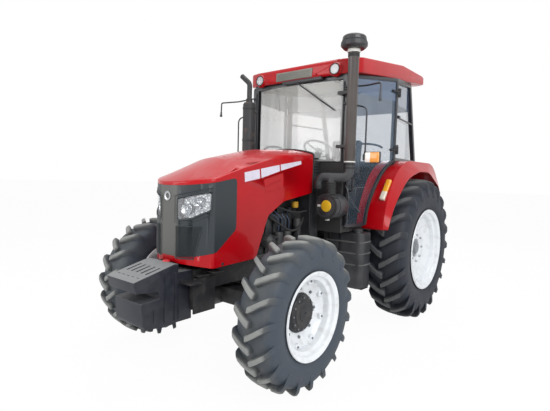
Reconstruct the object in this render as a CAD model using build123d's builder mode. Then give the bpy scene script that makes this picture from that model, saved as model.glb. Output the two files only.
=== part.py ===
"""Farm tractor with a closed cab, four-wheel drive and a three-point hitch.

Lengths are millimetres. X runs forward, Y to the tractor's left and Z up from the ground.
"""

from build123d import *
import math
import os

os.makedirs("parts", exist_ok=True)

# Layout
wheelbase = 2310
front_overhang = 940
rear_overhang = 950
rear_axle_x = (rear_overhang - front_overhang - wheelbase) / 2
front_axle_x = rear_axle_x + wheelbase
fit_gap = 0.3
running_gap = 0.1
seam = 5

# Wheels: tyre radius and width, bead seat and flange of the rim, place of the disc and hub
front_half_track = 869
rear_half_track = 801
front_tyre_radius = 580
rear_tyre_radius = 806
rim_wall = 9
rim_flange_height = 28
tyre_wall = 26
tread_wall = 42
spindle_radius = 45

# Steering
king_pin_y = 620
king_pin_radius = 25
steering_arm_length = 150
steering_rod_radius = 13

# Chassis
frame_half_width = 190
engine_half_width = 240
engine_front_x = rear_axle_x + 2200
engine_rear_x = rear_axle_x + 1450
engine_base = 620
engine_top = 1250
housing_half_width = 190
housing_base = 450
housing_top = 950
drive_shaft_radius = 22
drive_shaft_z = 470

# Hood
hood_nose_x = front_axle_x + 540
nose_sweep = 225
hood_rear_x = rear_axle_x + 1420
hood_wall = 5
hood_hinge_x = rear_axle_x + 1450
hood_hinge_z = 1765
hood_hinge_y = 250
hood_pin_radius = 8
cowl_front_x = rear_axle_x + 1400
cowl_half_width = 330
grille_seam = 0.8

# Cab
floor_top = 1100
floor_thickness = 40
panel = 30
a_post_x = rear_axle_x + 1215
a_post_y = 570
c_post_x = rear_axle_x + 420
c_post_y = 745
d_post_x = rear_axle_x - 165
d_post_y = 650
d_post_foot_x = rear_axle_x - 410
post = 46
sill_height = 1745
rear_sill_height = 1815
eaves_front = 2600
eaves_slope = 0.112
glass = 6
roof_front_x = rear_axle_x + 1305
roof_rear_x = rear_axle_x - 520
roof_half_width = 705

# Work lamps in the roof's front edge
work_lamp_x = rear_axle_x + 1248
work_lamp_y = 479
work_lamp_z = 2640
work_lamp_radius = 50

# Doors
door_gap = 5
door_depth = 24
door_border = 30
hinge_radius = 12
hinge_pin_radius = 6
hinge_offset = 24

# Fenders
fender_wall = 8
fender_inner_y = 548
fender_crease_y = 850
fender_lip_y = 900
fender_top = 1810
# ahead of the rear axle, height: the outer form at the crease and at the lip
CREASE = [
    (865, 1095),
    (825, 1330),
    (610, 1665),
    (350, fender_top),
    (-500, fender_top),
    (-790, 1520),
    (-820, 1290),
]
LIP = [(850, 1085), (745, 1310), (395, 1620), (60, 1702), (-250, 1702), (-640, 1520), (-760, 1280)]
FENDER_RADII = [0, 900, 600, 520, 400, 200, 0]

# Weights on the nose
weight_half_width = 171
weight_front_x = front_axle_x + front_overhang

# Hitch
link_pivot_x = rear_axle_x - 40
link_pivot_z = rear_tyre_radius - 306
link_pivot_y = housing_half_width + 55
link_pin_radius = 14.3
link_eye_radius = 45
link_end_x = rear_axle_x - rear_overhang + link_eye_radius
link_end_y = link_pivot_y + 165
link_thickness = 36
rockshaft_x = rear_axle_x - 335
rockshaft_z = 900
rockshaft_radius = 30
lift_arm_length = 280
lift_arm_y = 300
top_link_pin_radius = 12.8
drawbar_pin_radius = 16
drawbar_end_x = rear_axle_x - 800
pto_radius = 17.5
pto_height = 620


def block(x_span, y_span, z_span, mode=Mode.ADD):
    """A box between two X, two Y and two Z values."""
    spans = (x_span, y_span, z_span)
    with Locations(tuple(sum(span) / 2 for span in spans)):
        Box(*(span[1] - span[0] for span in spans), mode=mode)


def bar(start, end, radius, mode=Mode.ADD):
    """A round bar from one point to another."""
    run = Vector(end) - Vector(start)
    with Locations(Plane(origin=start, z_dir=run)):
        Cylinder(radius, run.length, align=(Align.CENTER, Align.CENTER, Align.MIN), mode=mode)


def pipe(points, bend, radius):
    """A round bar along straight runs joined by bends."""
    with BuildLine() as route:
        FilletPolyline(*points, radius=bend)
    with BuildSketch(Plane(origin=points[0], z_dir=Vector(points[1]) - Vector(points[0]))) as section:
        Circle(radius)
    sweep(section.sketch, path=route.line)


def shape(outline, radii):
    """A flat outline with rounded corners, as a sketch."""
    with BuildLine() as border:
        FilletPolyline(*outline, radius=radii, close=True)
    make_face(border.edges())


def side_slab(outline, radii, y_span, mode=Mode.ADD):
    """An outline in X and Z, as thick as the Y span."""
    with BuildSketch(Plane.XZ.offset(-y_span[1])) as outside:
        shape(outline, radii)
    extrude(outside.sketch, amount=y_span[1] - y_span[0], dir=(0, -1, 0), mode=mode)


def plan_slab(outline, radii, z_span, mode=Mode.ADD):
    """An outline in X and Y, as thick as the Z span."""
    with BuildSketch(Plane.XY.offset(z_span[0])) as outside:
        shape(outline, radii)
    extrude(outside.sketch, amount=z_span[1] - z_span[0], dir=(0, 0, 1), mode=mode)


def front_slab(outline, radii, x_span, mode=Mode.ADD):
    """An outline in Y and Z, as thick as the X span."""
    with BuildSketch(Plane.YZ.offset(x_span[0])) as outside:
        shape(outline, radii)
    extrude(outside.sketch, amount=x_span[1] - x_span[0], dir=(1, 0, 0), mode=mode)


def both_sides():
    """The same again on the other side of the tractor."""
    mirror(about=Plane.XZ)


def save(piece, label):
    """Names a finished piece and writes its file."""
    piece.part.label = label
    export_step(piece.part, f"parts/{label}.step")


def eaves(x):
    """Height of the roof's underside, which rises towards the rear."""
    return eaves_front + (a_post_x - x) * eaves_slope


# ---------------------------------------------------------------------------
# Wheels
# ---------------------------------------------------------------------------

# axle x, tyre radius, tyre half width, half track, bead seat radius, rim half width,
# disc offset from the rim's middle, hub radius, hub start y, hub face y, drum radius
WHEELS = {
    "front": (front_axle_x, front_tyre_radius, 158, front_half_track, 305, 140, 5, 138, 812, 912, 150),
    "rear": (rear_axle_x, rear_tyre_radius, 212, rear_half_track, 432, 190, 55, 110, 650, 900, 170),
}


def turned(axle_x, height, rings):
    """Rings about a wheel's axle, each by its Y span and radius span."""
    with BuildSketch(Plane.YZ.offset(axle_x)) as section:
        for y_span, r_span in rings:
            with Locations((sum(y_span) / 2, height + sum(r_span) / 2)):
                Rectangle(y_span[1] - y_span[0], r_span[1] - r_span[0])
    revolve(section.sketch, axis=Axis((axle_x, 0, height), (0, 1, 0)))


for end, row in WHEELS.items():
    axle_x, radius, half_width, track, seat, rim_half = row[:6]
    disc_offset, hub_radius, hub_start, hub_face, drum = row[6:]
    disc_y = track + disc_offset
    flange_radius = seat + rim_flange_height
    bead = rim_half - fit_gap
    foot = radius + seat + fit_gap
    flange_top = radius + flange_radius + 4
    shoulder = 2 * radius - 62
    crown = 2 * radius

    with BuildPart() as rim:
        turned(
            axle_x,
            radius,
            [
                ((track - rim_half, track + rim_half), (seat - rim_wall, seat)),
                ((track - rim_half - 13, track - rim_half), (seat - rim_wall, flange_radius)),
                ((track + rim_half, track + rim_half + 13), (seat - rim_wall, flange_radius)),
                ((disc_y - 6, disc_y + 6), (0, seat - rim_wall + 1)),
                ((hub_start, disc_y), (0, drum)),
                ((disc_y, hub_face), (0, hub_radius)),
            ],
        )
        bar(
            (axle_x, hub_start, radius),
            (axle_x, disc_y - 20, radius),
            spindle_radius + running_gap,
            Mode.SUBTRACT,
        )
    save(rim, f"{end}_rim_left")

    with BuildPart() as rim_right:
        mirror(rim.part, about=Plane.XZ)
    save(rim_right, f"{end}_rim_right")

    outer = [
        (track - bead, foot),
        (track - bead, flange_top),
        (track - half_width, flange_top + 55),
        (track - half_width, shoulder),
        (track - half_width + 48, crown),
        (track + half_width - 48, crown),
        (track + half_width, shoulder),
        (track + half_width, flange_top + 55),
        (track + bead, flange_top),
        (track + bead, foot),
    ]
    inner = [
        (track - bead + tyre_wall, foot - 2),
        (track - bead + tyre_wall, flange_top),
        (track - half_width + tyre_wall, flange_top + 60),
        (track - half_width + tyre_wall, shoulder - 30),
        (track - half_width + 70, crown - tread_wall),
        (track + half_width - 70, crown - tread_wall),
        (track + half_width - tyre_wall, shoulder - 30),
        (track + half_width - tyre_wall, flange_top + 60),
        (track + bead - tyre_wall, flange_top),
        (track + bead - tyre_wall, foot - 2),
    ]
    with BuildPart() as tyre:
        with BuildSketch(Plane.YZ.offset(axle_x)):
            with BuildLine():
                FilletPolyline(*outer, radius=[0, 20, 50, 30, 25, 25, 30, 50, 20, 0], close=True)
            make_face()
            with BuildLine():
                FilletPolyline(*inner, radius=[0, 15, 40, 25, 20, 20, 25, 40, 15, 0], close=True)
            make_face(mode=Mode.SUBTRACT)
        revolve(axis=Axis((axle_x, 0, radius), (0, 1, 0)))
    save(tyre, f"{end}_tyre_left")

    with BuildPart() as tyre_right:
        mirror(tyre.part, about=Plane.XZ)
    save(tyre_right, f"{end}_tyre_right")

# ---------------------------------------------------------------------------
# Front axle and steering
# ---------------------------------------------------------------------------

axle_z = front_tyre_radius
yoke_reach = 95
yoke_plate = 30
cylinder_x = front_axle_x - steering_arm_length
yoke_x = (front_axle_x - 55, front_axle_x + 55)
nose_x = front_axle_x - 200
beam_end = king_pin_y - 85

# Y span, Z span: the upright of a yoke, its lower plate and its upper plate
YOKE = [
    ((beam_end - 40, beam_end), (axle_z - yoke_reach - yoke_plate, axle_z + yoke_reach + yoke_plate)),
    ((beam_end, king_pin_y + 45), (axle_z - yoke_reach - yoke_plate, axle_z - yoke_reach)),
    ((beam_end, king_pin_y + 45), (axle_z + yoke_reach, axle_z + yoke_reach + yoke_plate)),
]

with BuildPart() as front_axle:
    block((front_axle_x - 60, front_axle_x + 60), (-beam_end, beam_end), (axle_z - 65, axle_z + 65))
    bar((front_axle_x - 105, 0, axle_z), (front_axle_x + 140, 0, axle_z), 108)
    bar((nose_x, 0, drive_shaft_z + 25), (front_axle_x - 100, 0, drive_shaft_z + 25), 48)
    for side in (-1, 1):
        for y_span, z_span in YOKE:
            block(yoke_x, sorted(side * y for y in y_span), z_span)
        bar(
            (front_axle_x, side * king_pin_y, axle_z - yoke_reach - yoke_plate),
            (front_axle_x, side * king_pin_y, axle_z + yoke_reach + yoke_plate),
            king_pin_radius + running_gap,
            Mode.SUBTRACT,
        )
    # steering cylinder behind the beam, on two feet
    bar((cylinder_x, -200, axle_z + 20), (cylinder_x, 200, axle_z + 20), 34)
    for y in (-170, 170):
        block((cylinder_x, front_axle_x - 60), (y - 15, y + 15), (axle_z - 10, axle_z + 50))
    bar(
        (cylinder_x, -200, axle_z + 20),
        (cylinder_x, 200, axle_z + 20),
        steering_rod_radius + running_gap,
        Mode.SUBTRACT,
    )
    # swing pins on which the frame rests
    for x in (front_axle_x - 60, front_axle_x + 20):
        block((x, x + 40), (-45, 45), (axle_z + 60, axle_z + 110))
save(front_axle, "front_axle")

arm_top = axle_z - 2
arm_y = king_pin_y - 5

with BuildPart() as knuckle:
    pin_top = axle_z + yoke_reach
    bar((front_axle_x, king_pin_y, axle_z - yoke_reach + 0.5), (front_axle_x, king_pin_y, pin_top - 0.5), 58)
    for low in (axle_z - yoke_reach - yoke_plate, axle_z + yoke_reach - 1):
        with Locations((front_axle_x, king_pin_y, low + (yoke_plate + 1) / 2)):
            Cylinder(king_pin_radius, yoke_plate + 1)
    bar((front_axle_x, king_pin_y, axle_z), (front_axle_x, 800, axle_z), 82)
    bar((front_axle_x, 700, axle_z), (front_axle_x, 800, axle_z), 110)
    bar((front_axle_x, 800, axle_z), (front_axle_x, 850, axle_z), spindle_radius)
    block((cylinder_x, front_axle_x), (arm_y - 20, arm_y + 20), (arm_top - 28, arm_top))
    bar((cylinder_x, arm_y, arm_top - 28), (cylinder_x, arm_y, arm_top), 30)
save(knuckle, "knuckle_left")

with BuildPart() as knuckle_right:
    mirror(knuckle.part, about=Plane.XZ)
save(knuckle_right, "knuckle_right")

with BuildPart() as steering_rod:
    rod_z = axle_z + 20
    bar((cylinder_x, -arm_y, rod_z), (cylinder_x, arm_y, rod_z), steering_rod_radius)
    for y in (-arm_y, arm_y):
        bar((cylinder_x, y, arm_top + 0.5), (cylinder_x, y, arm_top + 41), 26)
save(steering_rod, "steering_rod")

# ---------------------------------------------------------------------------
# Chassis
# ---------------------------------------------------------------------------

rail_top = 860
rail_base = axle_z + 110 + fit_gap
frame_front_x = front_axle_x + 440

with BuildPart() as front_frame:
    for side in (-1, 1):
        inner_y, outer_y = sorted((side * (frame_half_width - 40), side * frame_half_width))
        block((engine_front_x - 150, frame_front_x), (inner_y, outer_y), (rail_base, rail_top))
    across = (-frame_half_width, frame_half_width)
    block((nose_x, frame_front_x), across, (rail_base, rail_base + 60))
    block((frame_front_x - 40, frame_front_x), across, (rail_base, rail_top))
    block((front_axle_x + 230, frame_front_x), (-250, 250), (rail_top - 50, rail_top - 38))
save(front_frame, "front_frame")

with BuildPart() as engine:
    between_rails = frame_half_width - 40 - fit_gap
    block((engine_rear_x, engine_front_x - 120), (-between_rails, between_rails), (engine_base, rail_top))
    block(
        (engine_rear_x, engine_front_x),
        (-engine_half_width, engine_half_width),
        (rail_top + fit_gap, engine_top),
    )
    block((engine_rear_x + 60, engine_front_x - 160), (-140, 140), (engine_base - 90, engine_base))
    block(
        (engine_rear_x, engine_front_x),
        (-engine_half_width + 60, engine_half_width - 60),
        (engine_top, engine_top + 180),
    )
save(engine, "engine")

transfer_front_x = rear_axle_x + 960

with BuildPart() as transmission:
    block(
        (rear_axle_x + 300, engine_rear_x - fit_gap),
        (-housing_half_width, housing_half_width),
        (housing_base + 50, housing_top - 40),
    )
    block(
        (rear_axle_x - 280, rear_axle_x + 300),
        (-housing_half_width - 20, housing_half_width + 20),
        (housing_base, housing_top + 50),
    )
    # cheeks that carry the pins of the lower links
    for side in (-1, 1):
        block(
            (link_pivot_x - 30, link_pivot_x + 30),
            sorted(side * (housing_half_width + reach) for reach in (-20, 20)),
            (link_pivot_z - 35, housing_base + 60),
        )
    # transfer case, from which the shaft runs to the front axle
    block((rear_axle_x + 860, transfer_front_x), (-60, 60), (drive_shaft_z - 40, housing_base + 50))
save(transmission, "transmission")

with BuildPart() as drive_shaft:
    bar(
        (transfer_front_x + fit_gap, 0, drive_shaft_z),
        (nose_x - fit_gap, 0, drive_shaft_z),
        drive_shaft_radius,
    )
save(drive_shaft, "drive_shaft")

with BuildPart() as rear_axle:
    inner_y = housing_half_width + 20 + fit_gap
    bar((rear_axle_x, inner_y, rear_tyre_radius), (rear_axle_x, 620, rear_tyre_radius), 95)
    bar((rear_axle_x, inner_y, rear_tyre_radius), (rear_axle_x, inner_y + 60, rear_tyre_radius), 150)
    bar((rear_axle_x, 560, rear_tyre_radius), (rear_axle_x, 640, rear_tyre_radius), 150)
    bar((rear_axle_x, 640, rear_tyre_radius), (rear_axle_x, 800, rear_tyre_radius), spindle_radius)
    both_sides()
save(rear_axle, "rear_axle")

with BuildPart() as radiator:
    block((rear_axle_x + 2330, rear_axle_x + 2400), (-250, 250), (rail_top + fit_gap, 1440))
    block((rear_axle_x + 2290, rear_axle_x + 2330), (-210, 210), (950, 1370))
save(radiator, "radiator")

tank_front_x = rear_axle_x + 1080
tank_rear_x = rear_axle_x + 872
tank_outer_y = 735
tank_inner_y = 270
bracket_x = (tank_rear_x + 40, tank_front_x - 40)

with BuildPart() as fuel_tank:
    plan_slab(
        [
            (tank_rear_x, tank_inner_y),
            (tank_front_x, tank_inner_y),
            (tank_front_x, tank_outer_y),
            (tank_rear_x, tank_outer_y),
        ],
        [20, 40, 60, 30],
        (480, 1050),
    )
    fillet(fuel_tank.edges().group_by(Axis.Z)[0] + fuel_tank.edges().group_by(Axis.Z)[-1], 18)
    block((tank_rear_x - 420, tank_rear_x + 40), (tank_inner_y, 530), (560, 1000))
    block(bracket_x, (housing_half_width + fit_gap, tank_inner_y + 30), (700, 760))
    # filler neck and cap, under the cab's edge
    bar((tank_front_x - 55, tank_outer_y - 75, 1040), (tank_front_x - 55, tank_outer_y - 75, 1068), 40)
save(fuel_tank, "fuel_tank")

with BuildPart() as battery_box:
    block((tank_rear_x, tank_front_x), (-560, -tank_inner_y), (520, 900))
    block(bracket_x, (-tank_inner_y - 30, -housing_half_width - fit_gap), (700, 760))
    for x in (tank_rear_x, tank_front_x - 10):
        block((x, x + 10), (-735, -560), (480, 900))
    for step_z in (485, 690, 890):
        block((tank_rear_x, tank_front_x), (-735, -555), (step_z, step_z + 12))
save(battery_box, "battery_box")

carrier_rear_x = frame_front_x + fit_gap

with BuildPart() as front_weights:
    top_rear = 925
    top_front = 842
    side_slab(
        [
            (carrier_rear_x, 480),
            (carrier_rear_x + 290, 480),
            (carrier_rear_x + 290, 740),
            (weight_front_x - 22, 760),
            (weight_front_x, top_front),
            (hood_nose_x + 60, top_rear),
            (hood_nose_x + 25, top_rear - 4),
            (hood_nose_x + 25, rail_top),
            (carrier_rear_x, rail_top),
        ],
        [0, 0, 20, 6, 4, 12, 4, 0, 0],
        (-weight_half_width, weight_half_width),
    )
    side_slab(
        [
            (carrier_rear_x + 200, 480),
            (weight_front_x - 75, 480),
            (weight_front_x - 62, 679),
            (carrier_rear_x + 200, 700),
        ],
        [0, 60, 6, 0],
        (-weight_half_width, weight_half_width),
    )
    # slots between the lifting handles of the weights
    for n in range(5):
        y = (n - 2) * 60
        slot_x = (weight_front_x - 250, weight_front_x - 130)
        block(slot_x, (y - 9, y + 9), (top_front, top_rear + 20), Mode.SUBTRACT)
save(front_weights, "front_weights")

# ---------------------------------------------------------------------------
# Hood: one outer form, from which the hood, the grille and the lamps are cut
# ---------------------------------------------------------------------------

# distance ahead of the rear axle, half width, height of the shoulder, height of the crown
HOOD_SECTIONS = [
    (1370, 352, 1819, 1872),
    (wheelbase - 410, 350, 1778, 1838),
    (wheelbase + 90, 345, 1645, 1735),
    (wheelbase + 590, 335, 1489, 1506),
]


def hood_form(inset):
    """The hood's closed form, its walls moved in by an inset and its open ends out."""
    rear_x = hood_rear_x - 4 * inset
    sections = []
    for ahead, half_width, shoulder_z, crown_z in HOOD_SECTIONS:
        width = half_width - inset
        with BuildSketch(Plane.YZ.offset(rear_axle_x + ahead)) as section:
            with BuildLine():
                left = (width, shoulder_z - inset)
                right = (-width, shoulder_z - inset)
                Polyline(right, (-width, 700), (width, 700), left)
                ThreePointArc(left, (0, crown_z - inset), right)
            make_face()
        sections.append(section.sketch)
    loft(sections, ruled=True)
    corner = 330 - inset
    with BuildSketch(Plane.XY.offset(600)) as plan:
        with BuildLine():
            Polyline(
                (hood_nose_x - nose_sweep - inset, corner + 40),
                (rear_x - 20, corner + 60),
                (rear_x - 20, -corner - 60),
                (hood_nose_x - nose_sweep - inset, -corner - 40),
            )
            ThreePointArc(
                (hood_nose_x - nose_sweep - inset, -corner - 40),
                (hood_nose_x - inset, 0),
                (hood_nose_x - nose_sweep - inset, corner + 40),
            )
        make_face()
    extrude(plan.sketch, amount=1500, dir=(0, 0, 1), mode=Mode.INTERSECT)
    side_slab(
        [
            (rear_x, 1445 - 2 * inset),
            (front_axle_x - 450, 1372 - 2 * inset),
            (front_axle_x - 240, 1255 - 2 * inset),
            (front_axle_x - 95, 903 - 3 * inset),
            (front_axle_x + 380, 883 - 3 * inset),
            (hood_nose_x - 10 - inset, 912 - 3 * inset),
            (hood_nose_x + 5 - inset, 1200),
            (hood_nose_x - 15 - inset, 1960),
            (rear_x, 1960),
        ],
        [10, 120, 90, 20, 60, 0, 0, 0, 0],
        (-400, 400),
        Mode.INTERSECT,
    )


with BuildPart() as hood_outside:
    hood_form(0)

with BuildPart() as hood_inside:
    hood_form(hood_wall)

# side view of the dark grille, which wraps round the nose between the top and the lower band
grille_rear_x = front_axle_x + 140
GRILLE = [
    (grille_rear_x, 1572),
    (grille_rear_x, 1165),
    (front_axle_x + 340, 1004),
    (front_axle_x + 465, 972),
    (hood_nose_x + 60, 955),
    (hood_nose_x + 60, 1492),
]
GRILLE_RADII = [30, 60, 60, 20, 0, 0]
LAMP = [(107, 1402), (107, 1248), (205, 1262), (318, 1325), (322, 1456)]
LAMP_RADII = [12, 12, 60, 20, 12]
lamp_centre = (215, 1352)
lamp_rear_x = hood_nose_x - 225

# hinge leaves under the hood's rear edge, bored for the pins of the cowl's brackets
with BuildPart() as hood_leaves:
    for y in (-hood_hinge_y, hood_hinge_y):
        block((hood_hinge_x - 15, hood_hinge_x + 110), (y - 15, y + 15), (hood_hinge_z - 15, 1960))
        bar(
            (hood_hinge_x, y - 20, hood_hinge_z),
            (hood_hinge_x, y + 20, hood_hinge_z),
            hood_pin_radius + running_gap,
            Mode.SUBTRACT,
        )
    add(hood_outside.part, mode=Mode.INTERSECT)

with BuildPart() as hood:
    add(hood_outside.part)
    add(hood_inside.part, mode=Mode.SUBTRACT)
    side_slab(GRILLE, GRILLE_RADII, (-400, 400), Mode.SUBTRACT)
    add(hood_leaves.part)
save(hood, "hood")

with BuildPart() as grille:
    add(hood_outside.part)
    add(hood_inside.part, mode=Mode.SUBTRACT)
    in_front = (grille_rear_x + grille_seam, hood_nose_x + 60)
    block(in_front, (-400, 400), (955 + grille_seam, 1700), Mode.INTERSECT)
    inset_grille = [
        (GRILLE[0][0] + grille_seam, GRILLE[0][1] - grille_seam),
        (GRILLE[1][0] + grille_seam, GRILLE[1][1] + grille_seam),
        (GRILLE[2][0] + grille_seam, GRILLE[2][1] + grille_seam),
        (GRILLE[3][0], GRILLE[3][1] + grille_seam),
        (GRILLE[4][0], GRILLE[4][1] + grille_seam),
        (GRILLE[5][0], GRILLE[5][1] - grille_seam),
    ]
    side_slab(inset_grille, GRILLE_RADII, (-400, 400), Mode.INTERSECT)
    for side in (-1, 1):
        lamp_hole = [(side * y, z) for y, z in LAMP]
        front_slab(lamp_hole, LAMP_RADII, (lamp_rear_x, hood_nose_x + 60), Mode.SUBTRACT)
save(grille, "grille")

with BuildPart() as lamp_form:
    hood_form(45)

with BuildPart() as headlights:
    add(hood_outside.part)
    add(lamp_form.part, mode=Mode.SUBTRACT)
    shrink = grille_seam / 100
    lamp_outline = [(y + (lamp_centre[0] - y) * shrink, z + (lamp_centre[1] - z) * shrink) for y, z in LAMP]
    front_slab(lamp_outline, LAMP_RADII, (lamp_rear_x + grille_seam, hood_nose_x + 60), Mode.INTERSECT)
    both_sides()
save(headlights, "headlights")

# ---------------------------------------------------------------------------
# Fenders
# ---------------------------------------------------------------------------


def fender_form(inset):
    """The fender's closed form over the tyre, its top moved in by an inset."""
    centre_z = 1250
    closed = []
    for points in (CREASE, LIP):
        outline = []
        for ahead, height in points:
            reach = math.hypot(ahead, height - centre_z)
            shrink = 1 - inset / reach
            outline.append((rear_axle_x + ahead * shrink, centre_z + (height - centre_z) * shrink))
        foot_z = 1020 - 3 * inset
        outline += [(outline[-1][0] + 30, foot_z), (outline[0][0] - 30, foot_z)]
        closed.append(outline)
    radii = FENDER_RADII + [0, 0]
    side_slab(closed[0], radii, (fender_inner_y + inset, fender_crease_y))
    sections = []
    for outline, y in zip(closed, (fender_crease_y, fender_lip_y)):
        with BuildSketch(Plane.XZ.offset(-y)) as section:
            shape(outline, radii)
        sections.append(section.sketch)
    loft(sections)


with BuildPart() as fender_outside:
    fender_form(0)

with BuildPart() as fender_inside:
    fender_form(fender_wall)
    under_y = (fender_inner_y + fender_wall, fender_lip_y + 50)
    block((rear_axle_x - 900, rear_axle_x + 1100), under_y, (900, 1075))

with BuildPart() as fender:
    add(fender_outside.part)
    add(fender_inside.part, mode=Mode.SUBTRACT)
    block((rear_axle_x - 900, rear_axle_x + 1100), (500, 1000), (900, 1075), Mode.SUBTRACT)
    side_slab(
        [
            (rear_axle_x - 900, 1000),
            (rear_axle_x + 950, 1000),
            (rear_axle_x + 800, 1130),
            (rear_axle_x + 500, 1240),
            (rear_axle_x - 500, 1240),
            (rear_axle_x - 900, 1275),
        ],
        [0] * 6,
        (500, fender_lip_y + 60),
        Mode.SUBTRACT,
    )
save(fender, "fender_left")

with BuildPart() as fender_right:
    mirror(fender.part, about=Plane.XZ)
save(fender_right, "fender_right")

with BuildPart() as fender_seat:
    fender_form(-fit_gap)

# ---------------------------------------------------------------------------
# Cab
# ---------------------------------------------------------------------------

cab_front_x = a_post_x + post / 2
tub_half_width = fender_inner_y - fit_gap
rear_wall_x = d_post_foot_x
hinge_x = c_post_x
hinge_y = c_post_y + hinge_offset
HINGE_HEIGHTS = (1915, 2485)

with BuildPart() as cab_floor:
    door_sill_x = rear_axle_x + CREASE[0][0] + seam
    plan_slab(
        [
            (rear_wall_x, -tub_half_width),
            (door_sill_x, -tub_half_width),
            (door_sill_x, -615),
            (cab_front_x, -575),
            (cab_front_x, 575),
            (door_sill_x, 615),
            (door_sill_x, tub_half_width),
            (rear_wall_x, tub_half_width),
        ],
        [0] * 8,
        (floor_top - floor_thickness, floor_top),
    )
    block((cab_front_x, cab_front_x + panel), (-592, 592), (floor_top - floor_thickness, sill_height))
    block(
        (rear_wall_x - panel, rear_wall_x),
        (-tub_half_width, tub_half_width),
        (floor_top - floor_thickness, fender_top),
    )
    # platform over the rear housing and four mounts under the floor
    block((rear_wall_x, rear_axle_x + 320), (-tub_half_width, tub_half_width), (floor_top, floor_top + 150))
    for x in (rear_axle_x - 200, rear_axle_x + 1150):
        for y in (-150, 150):
            top = housing_top + 50 if x < rear_axle_x else housing_top - 40
            block((x - 40, x + 40), (y - 35, y + 35), (top + fit_gap, floor_top - floor_thickness))
save(cab_floor, "cab_floor")

rail_height = 50

with BuildPart() as eaves_slab:
    far = 900
    side_slab(
        [
            (a_post_x + far, eaves(a_post_x + far) - fit_gap - rail_height),
            (a_post_x + far, eaves(a_post_x + far) - fit_gap),
            (d_post_x - far, eaves(d_post_x - far) - fit_gap),
            (d_post_x - far, eaves(d_post_x - far) - fit_gap - rail_height),
        ],
        [0] * 4,
        (-900, 900),
    )


def cab_plan(inset):
    """The cab's outline in plan at the height of the windows."""
    front = a_post_x + post / 2 - inset
    rear = d_post_x - post / 2 + inset
    half = [(front, a_post_y + post / 2 - inset), (c_post_x, c_post_y - inset), (rear, d_post_y - inset)]
    return half + [(x, -y) for x, y in reversed(half)]


with BuildPart() as top_ring:
    plan_slab(cab_plan(0), [15] * 6, (2400, 2950))
    plan_slab(cab_plan(post), [5] * 6, (2400, 2950), Mode.SUBTRACT)
    add(eaves_slab.part, mode=Mode.INTERSECT)

foot_slope = (d_post_x - d_post_foot_x) / (eaves(d_post_x) - rear_sill_height)

rear_rail_top = rear_sill_height + 25

with BuildPart() as cab_frame:
    add(top_ring.part)
    # front post, door post and slanted rear post on the left
    block(
        (a_post_x - post / 2, a_post_x + post / 2),
        (a_post_y - post / 2, a_post_y + post / 2),
        (floor_top + fit_gap, eaves(a_post_x) - 20),
    )
    block(
        (c_post_x - post / 2, c_post_x + post / 2),
        (c_post_y - post, c_post_y),
        (fender_top - 110, eaves(c_post_x) - 20),
    )
    side_slab(
        [
            (d_post_foot_x - post / 2, fender_top + fit_gap),
            (d_post_foot_x + post / 2, fender_top + fit_gap),
            (d_post_x + post / 2, eaves(d_post_x) - 20),
            (d_post_x - post / 2, eaves(d_post_x) - 20),
        ],
        [0] * 4,
        (d_post_y - post, d_post_y),
    )
    # sill from the door post to the rear post, on the fender
    plan_slab(
        [
            (c_post_x + post / 2, c_post_y),
            (c_post_x + post / 2, c_post_y - post),
            (d_post_foot_x - post / 2, d_post_y - post),
            (d_post_foot_x - post / 2, d_post_y),
        ],
        [0] * 4,
        (fender_top - 110, fender_top + 30),
    )
    add(fender_seat.part, mode=Mode.SUBTRACT)
    # hinge brackets on the door post, each with its pin
    for z in HINGE_HEIGHTS:
        block((c_post_x - 14, c_post_x + 14), (c_post_y - 10, hinge_y + 12), (z, z + 12))
        bar((hinge_x, hinge_y, z), (hinge_x, hinge_y, z + 55), hinge_pin_radius)
    both_sides()
    # rear cross rail, on the rear wall
    block(
        (d_post_foot_x - post / 2, d_post_foot_x + post / 2),
        (-d_post_y + 10, d_post_y - 10),
        (fender_top + fit_gap, rear_rail_top),
    )
save(cab_frame, "cab_frame")

# windscreen between the front posts, bowed forward in plan
with BuildPart() as windscreen:
    edge_y = a_post_y - post / 2 - fit_gap
    bow = 50
    with BuildSketch(Plane.XY.offset(sill_height + fit_gap)):
        with BuildLine():
            ThreePointArc((a_post_x, -edge_y), (a_post_x + bow, 0), (a_post_x, edge_y))
            Line((a_post_x, edge_y), (a_post_x - glass, edge_y))
            inner_x = a_post_x - glass
            ThreePointArc((inner_x, edge_y), (inner_x + bow, 0), (inner_x, -edge_y))
            Line((a_post_x - glass, -edge_y), (a_post_x, -edge_y))
        make_face()
    extrude(amount=eaves(a_post_x + bow) - rail_height - 2 * fit_gap - sill_height)
save(windscreen, "windscreen")

rear_pane_top = eaves(d_post_x) - rail_height - 2 * fit_gap
pane_lean = (rear_pane_top - rear_rail_top) * foot_slope

with BuildPart() as rear_window:
    pane_x = d_post_foot_x + 10
    side_slab(
        [
            (pane_x, rear_rail_top + fit_gap),
            (pane_x + glass, rear_rail_top + fit_gap),
            (pane_x + glass + pane_lean, rear_pane_top),
            (pane_x + pane_lean, rear_pane_top),
        ],
        [0] * 4,
        (-d_post_y + post + fit_gap, d_post_y - post - fit_gap),
    )
save(rear_window, "rear_window")

# quarter panes behind the doors
side_run = Vector(d_post_x - c_post_x, d_post_y - c_post_y, 0)
side_out = Vector(side_run.Y, -side_run.X, 0).normalized()
side_plane = Plane(origin=(c_post_x, c_post_y - 20, 0), x_dir=side_run.normalized(), z_dir=side_out)

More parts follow.
